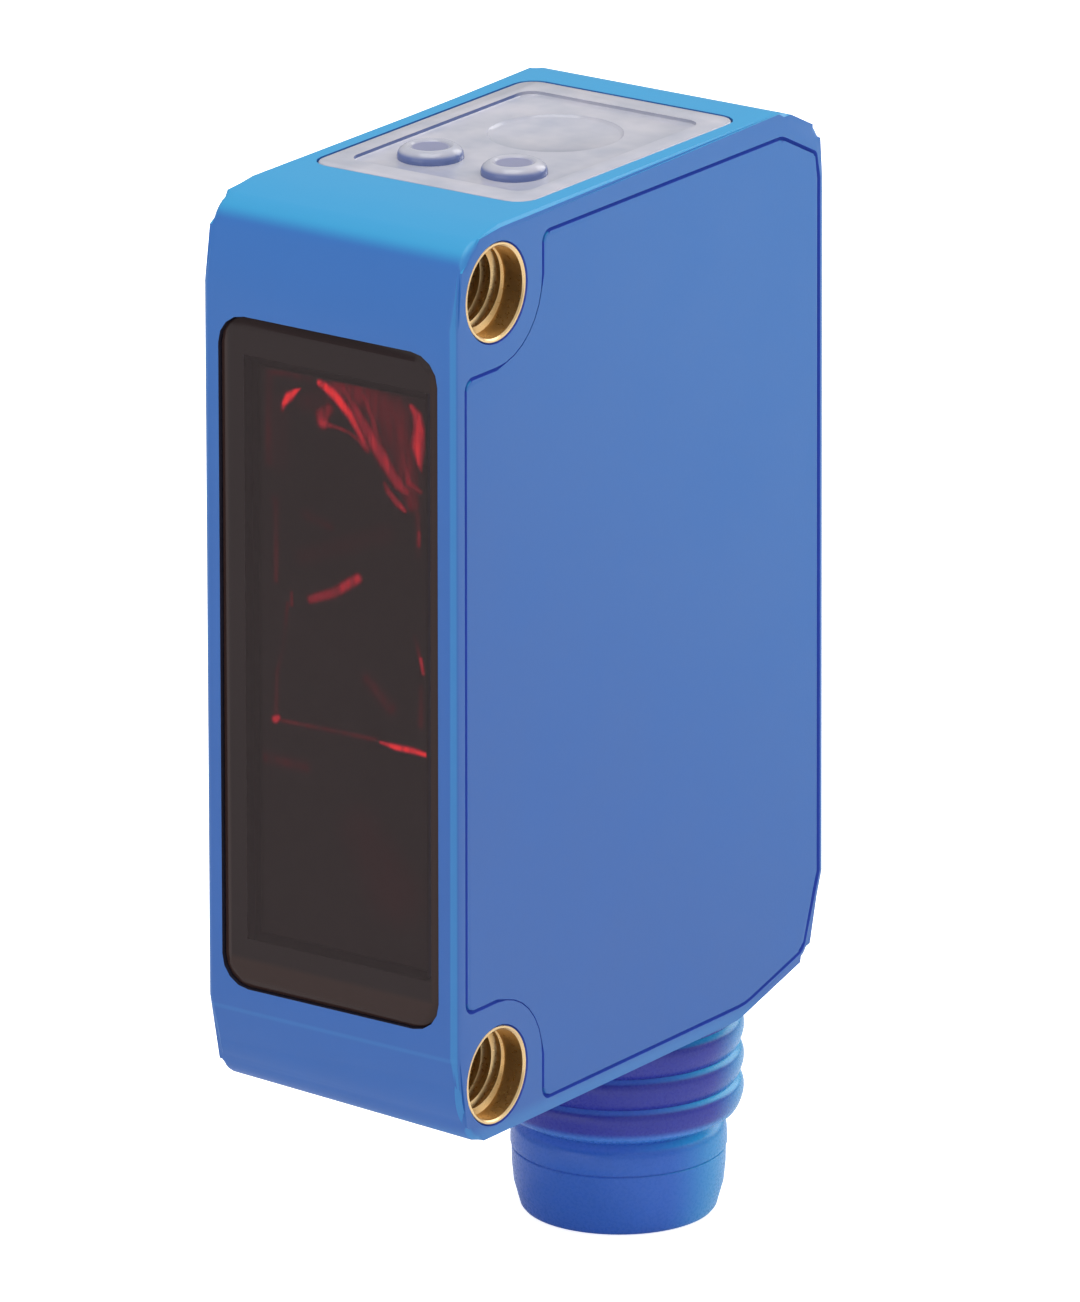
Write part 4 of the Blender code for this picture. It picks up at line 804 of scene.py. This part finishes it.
def build_bush(node, name):
    """Brass bush: collars, a waist, smooth mouths with a thin rim and a cut thread."""
    low, high = (corner / MM for corner in map(Vector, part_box(node)))
    height = (low.z + high.z) / 2
    collar, waist, mouth, core = 1.58, 1.54, 1.50, 1.1
    line = [
        (low.x, 0, core), (low.x, 0, mouth + 0.02), (low.x, 0, collar - 0.02),
        (low.x + 0.02, 0, collar), (low.x + 0.9, 0, collar), (low.x + 1.0, 0, waist),
        (high.x - 1.0, 0, waist), (high.x - 0.9, 0, collar), (high.x - 0.02, 0, collar),
        (high.x, 0, collar - 0.02), (high.x, 0, mouth + 0.02), (high.x, 0, core),
        (low.x, 0, core),
    ]
    bush = turn(line, (0, 0, 0), (1, 0, 0), ROUND_STEPS, name)
    edit(bush)
    bpy.ops.mesh.select_all(action="SELECT")
    bpy.ops.transform.translate(value=(0, 0, height * MM))
    leave()
    combine(bush, thread_tap(name + "_tap", low.x - 1.1, height), "DIFFERENCE")
    for end, side in ((low.x, -1), (high.x, 1)):
        steps = [(-0.3, 0), (-0.3, mouth), (0, mouth), (0.05, mouth - 0.05),
                 (0.74, mouth - 0.06), (0.82, mouth - 0.26), (1.0, mouth - 0.30), (1.0, 0)]
        cutter = turn([(end - side * depth, 0, radius) for depth, radius in steps],
                      (0, 0, 0), (1, 0, 0), ROUND_STEPS, name + "_mouth")
        edit(cutter)
        bpy.ops.mesh.select_all(action="SELECT")
        bpy.ops.transform.translate(value=(0, 0, height * MM))
        leave()
        combine(bush, cutter, "DIFFERENCE")
    clean(bush, math.radians(25))
    dress(bush, BRASS, "brass", node)


# Plug

def build_plug():
    """Plug with three round rings, a waisted neck and a thin cup, turned finely."""
    low, high = (corner / MM for corner in map(Vector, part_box("connector_shell")))
    middle = (low.x + high.x) / 2
    setback = (low.y + high.y) / 2
    tip = low.z
    top = high.z
    ring_top = tip + 6.57
    ring_pitch, ring_radius, ring_bulge = 1.04, 3.8, 0.22
    collar_top = ring_top + 0.58
    line = [(2.7, top), (3.1, top), (3.15, top - 0.05), (3.15, collar_top - 0.3),
            (3.65, collar_top - 0.3), (3.65, collar_top), (3.74, collar_top),
            (ring_radius, collar_top - 0.06), (ring_radius, ring_top)]
    for ring in range(3):
        for step in range(1, 13):
            share = step / 12
            bulge = ring_bulge * math.sin(math.pi * share ** 0.7) ** 0.8
            line.append((ring_radius + bulge, ring_top - ring_pitch * (ring + share)))
    neck = ring_top - 3.47
    line += [(3.72, neck + 0.30), (3.5, neck + 0.18), (3.26, neck + 0.08),
             (3.2, neck + 0.02), (3.24, neck - 0.05), (3.34, neck - 0.13),
             (3.43, neck - 0.24), (3.47, neck - 0.4),
             (3.49, neck - 0.75), (3.49, neck - 0.90), (3.48, neck - 0.93),
             (3.40, neck - 0.94), (3.40, neck - 1.00), (3.43, neck - 1.01),
             (3.45, neck - 1.04),
             (3.44, tip + 1.5), (3.38, tip + 0.9),
             (3.2, tip + 0.25), (3.17, tip + 0.14), (3.09, tip + 0.04), (2.97, tip),
             (2.8, tip), (2.72, tip + 0.03), (2.7, tip + 0.1), (2.7, top)]
    points = [(middle + radius, setback, level) for radius, level in line]
    shell = turn(points, (middle, setback, 0), (0, 0, 1), PLUG_STEPS, "plug_shell")
    bpy.ops.mesh.primitive_cube_add(
        size=1, location=(middle * MM, (setback - 2.4) * MM, (top - 0.1) * MM))
    slot = bpy.context.active_object
    slot.scale = (0.8 * MM, 1.3 * MM, 2.2 * MM)
    settle(slot, "key_slot")
    combine(shell, slot, "DIFFERENCE")
    clean(shell, math.radians(40))
    dress(shell, PLUG_BLUE, "plug", "connector_shell")


build_casing()
build_lid()
build_optics()
build_bush("upper_insert", "upper_bush")
build_bush("lower_insert", "lower_bush")
build_plug()
for node, finish in (
        ("connector_seal", RUBBER),
        ("contact_carrier", BLACK), ("contact_pin_1", GOLD), ("contact_pin_2", GOLD),
        ("contact_pin_3", GOLD), ("contact_pin_4", GOLD), ("connector_board", BOARD),
        ("optics_carrier", WELL_BLACK), ("optics_board", BOARD),
        ("receiver_diode", DIODE), ("main_board", BOARD), ("shield_can", TIN),
        ("receiver_ic", CHIP), ("control_ic", CHIP), ("supply_regulator", CHIP),
        ("output_driver", CHIP), ("supply_capacitor", TAN), ("optics_flex", AMBER),
        ("indicator_board", BOARD), ("indicator_led_green", GREEN_LED),
        ("indicator_led_yellow", YELLOW_LED)):
    refinish(node, finish)


# Stage

def make_floor():
    """Plain pale floor under the plug's tip."""
    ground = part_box("connector_shell")[0][2]
    bpy.ops.mesh.primitive_plane_add(size=3.0, location=(0, 0, ground))
    floor = bpy.context.active_object
    floor.name = "floor"
    made, tree, shader = start_material("floor_white", Roughness=0.7)
    shader.inputs["Emission Color"].default_value = (1, 1, 1, 1)
    seen = tree.nodes.new("ShaderNodeLightPath").outputs["Is Camera Ray"]
    tree.links.new(map_range(tree, seen, 0, 1, 0.05, 0.8), shader.inputs["Emission Strength"])
    grain = place_group(tree, GRAIN, Scale=900.0, Patch=8.0)
    base = blend_colours(tree, grain.outputs["Shade"], (0.93, 0.93, 0.935, 1),
                         (0.95, 0.95, 0.955, 1))
    tree.links.new(base, shader.inputs["Base Color"])
    floor.data.materials.append(made)


def toward(azimuth, elevation):
    """Direction from the origin at an azimuth from -Y and an elevation, in degrees."""
    a, e = math.radians(azimuth), math.radians(elevation)
    return Vector((math.sin(a) * math.cos(e), -math.cos(a) * math.cos(e), math.sin(e)))


def add_light(name, azimuth, elevation, distance, size, power):
    """A soft square light that looks at the frame's origin."""
    data = bpy.data.lights.new(name, "AREA")
    data.shape = "SQUARE"
    data.size = size
    data.energy = power
    lamp = bpy.data.objects.new(name, data)
    bpy.context.scene.collection.objects.link(lamp)
    back = toward(azimuth, elevation)
    lamp.location = back * distance
    lamp.rotation_euler = back.to_track_quat("Z", "Y").to_euler()


def make_world():
    """Pale studio: white to the camera, softer round the object and darker to its left."""
    world = bpy.data.worlds.new("studio")
    world.use_nodes = True
    bpy.context.scene.world = world
    tree = world.node_tree
    glow = tree.nodes["Background"]
    glow.inputs["Color"].default_value = (1, 1, 1, 1)
    way = add(tree, "ShaderNodeSeparateXYZ")
    tree.links.new(tree.nodes.new("ShaderNodeTexCoord").outputs["Generated"], way.inputs[0])
    upward = map_range(tree, way.outputs["Z"], -0.1, 0.8, 0.50, 0.78, smooth=True)
    sideways = map_range(tree, way.outputs["X"], -0.9, 0.5, 0.74, 0.98, smooth=True)
    around = math_node(tree, "MULTIPLY", upward, sideways)
    path = tree.nodes.new("ShaderNodeLightPath").outputs["Is Camera Ray"]
    strength = math_node(tree, "MAXIMUM", around, path)
    tree.links.new(strength, glow.inputs["Strength"])


def make_camera():
    """The photograph's view of the object, through a long lens."""
    azimuth, elevation, distance = 35.60, 17.99, 0.475
    aim = Vector((5.75, 7.65, -1.57)) * MM
    back = toward(azimuth, elevation)
    right = Vector((math.cos(math.radians(azimuth)), math.sin(math.radians(azimuth)), 0))
    data = bpy.data.cameras.new("camera")
    data.sensor_fit = "VERTICAL"
    data.sensor_width = data.sensor_height = 36
    data.lens = 418.04
    data.clip_start = 0.01
    camera = bpy.data.objects.new("camera", data)
    bpy.context.scene.collection.objects.link(camera)
    turned = Matrix((right, back.cross(right), back)).transposed().to_4x4()
    turned.translation = aim + back * distance
    camera.matrix_world = turned
    bpy.context.scene.camera = camera


make_floor()
make_world()
add_light("top_light", 20, 82, 0.5, 0.35, 1.2)
add_light("front_light", -10, 10, 0.5, 0.40, 0.45)
add_light("right_light", 125, 25, 0.5, 0.25, 0.15)
add_light("back_light", 168, 25, 0.5, 0.3, 0.7)
make_camera()
bpy.context.scene.view_settings.view_transform = "Standard"
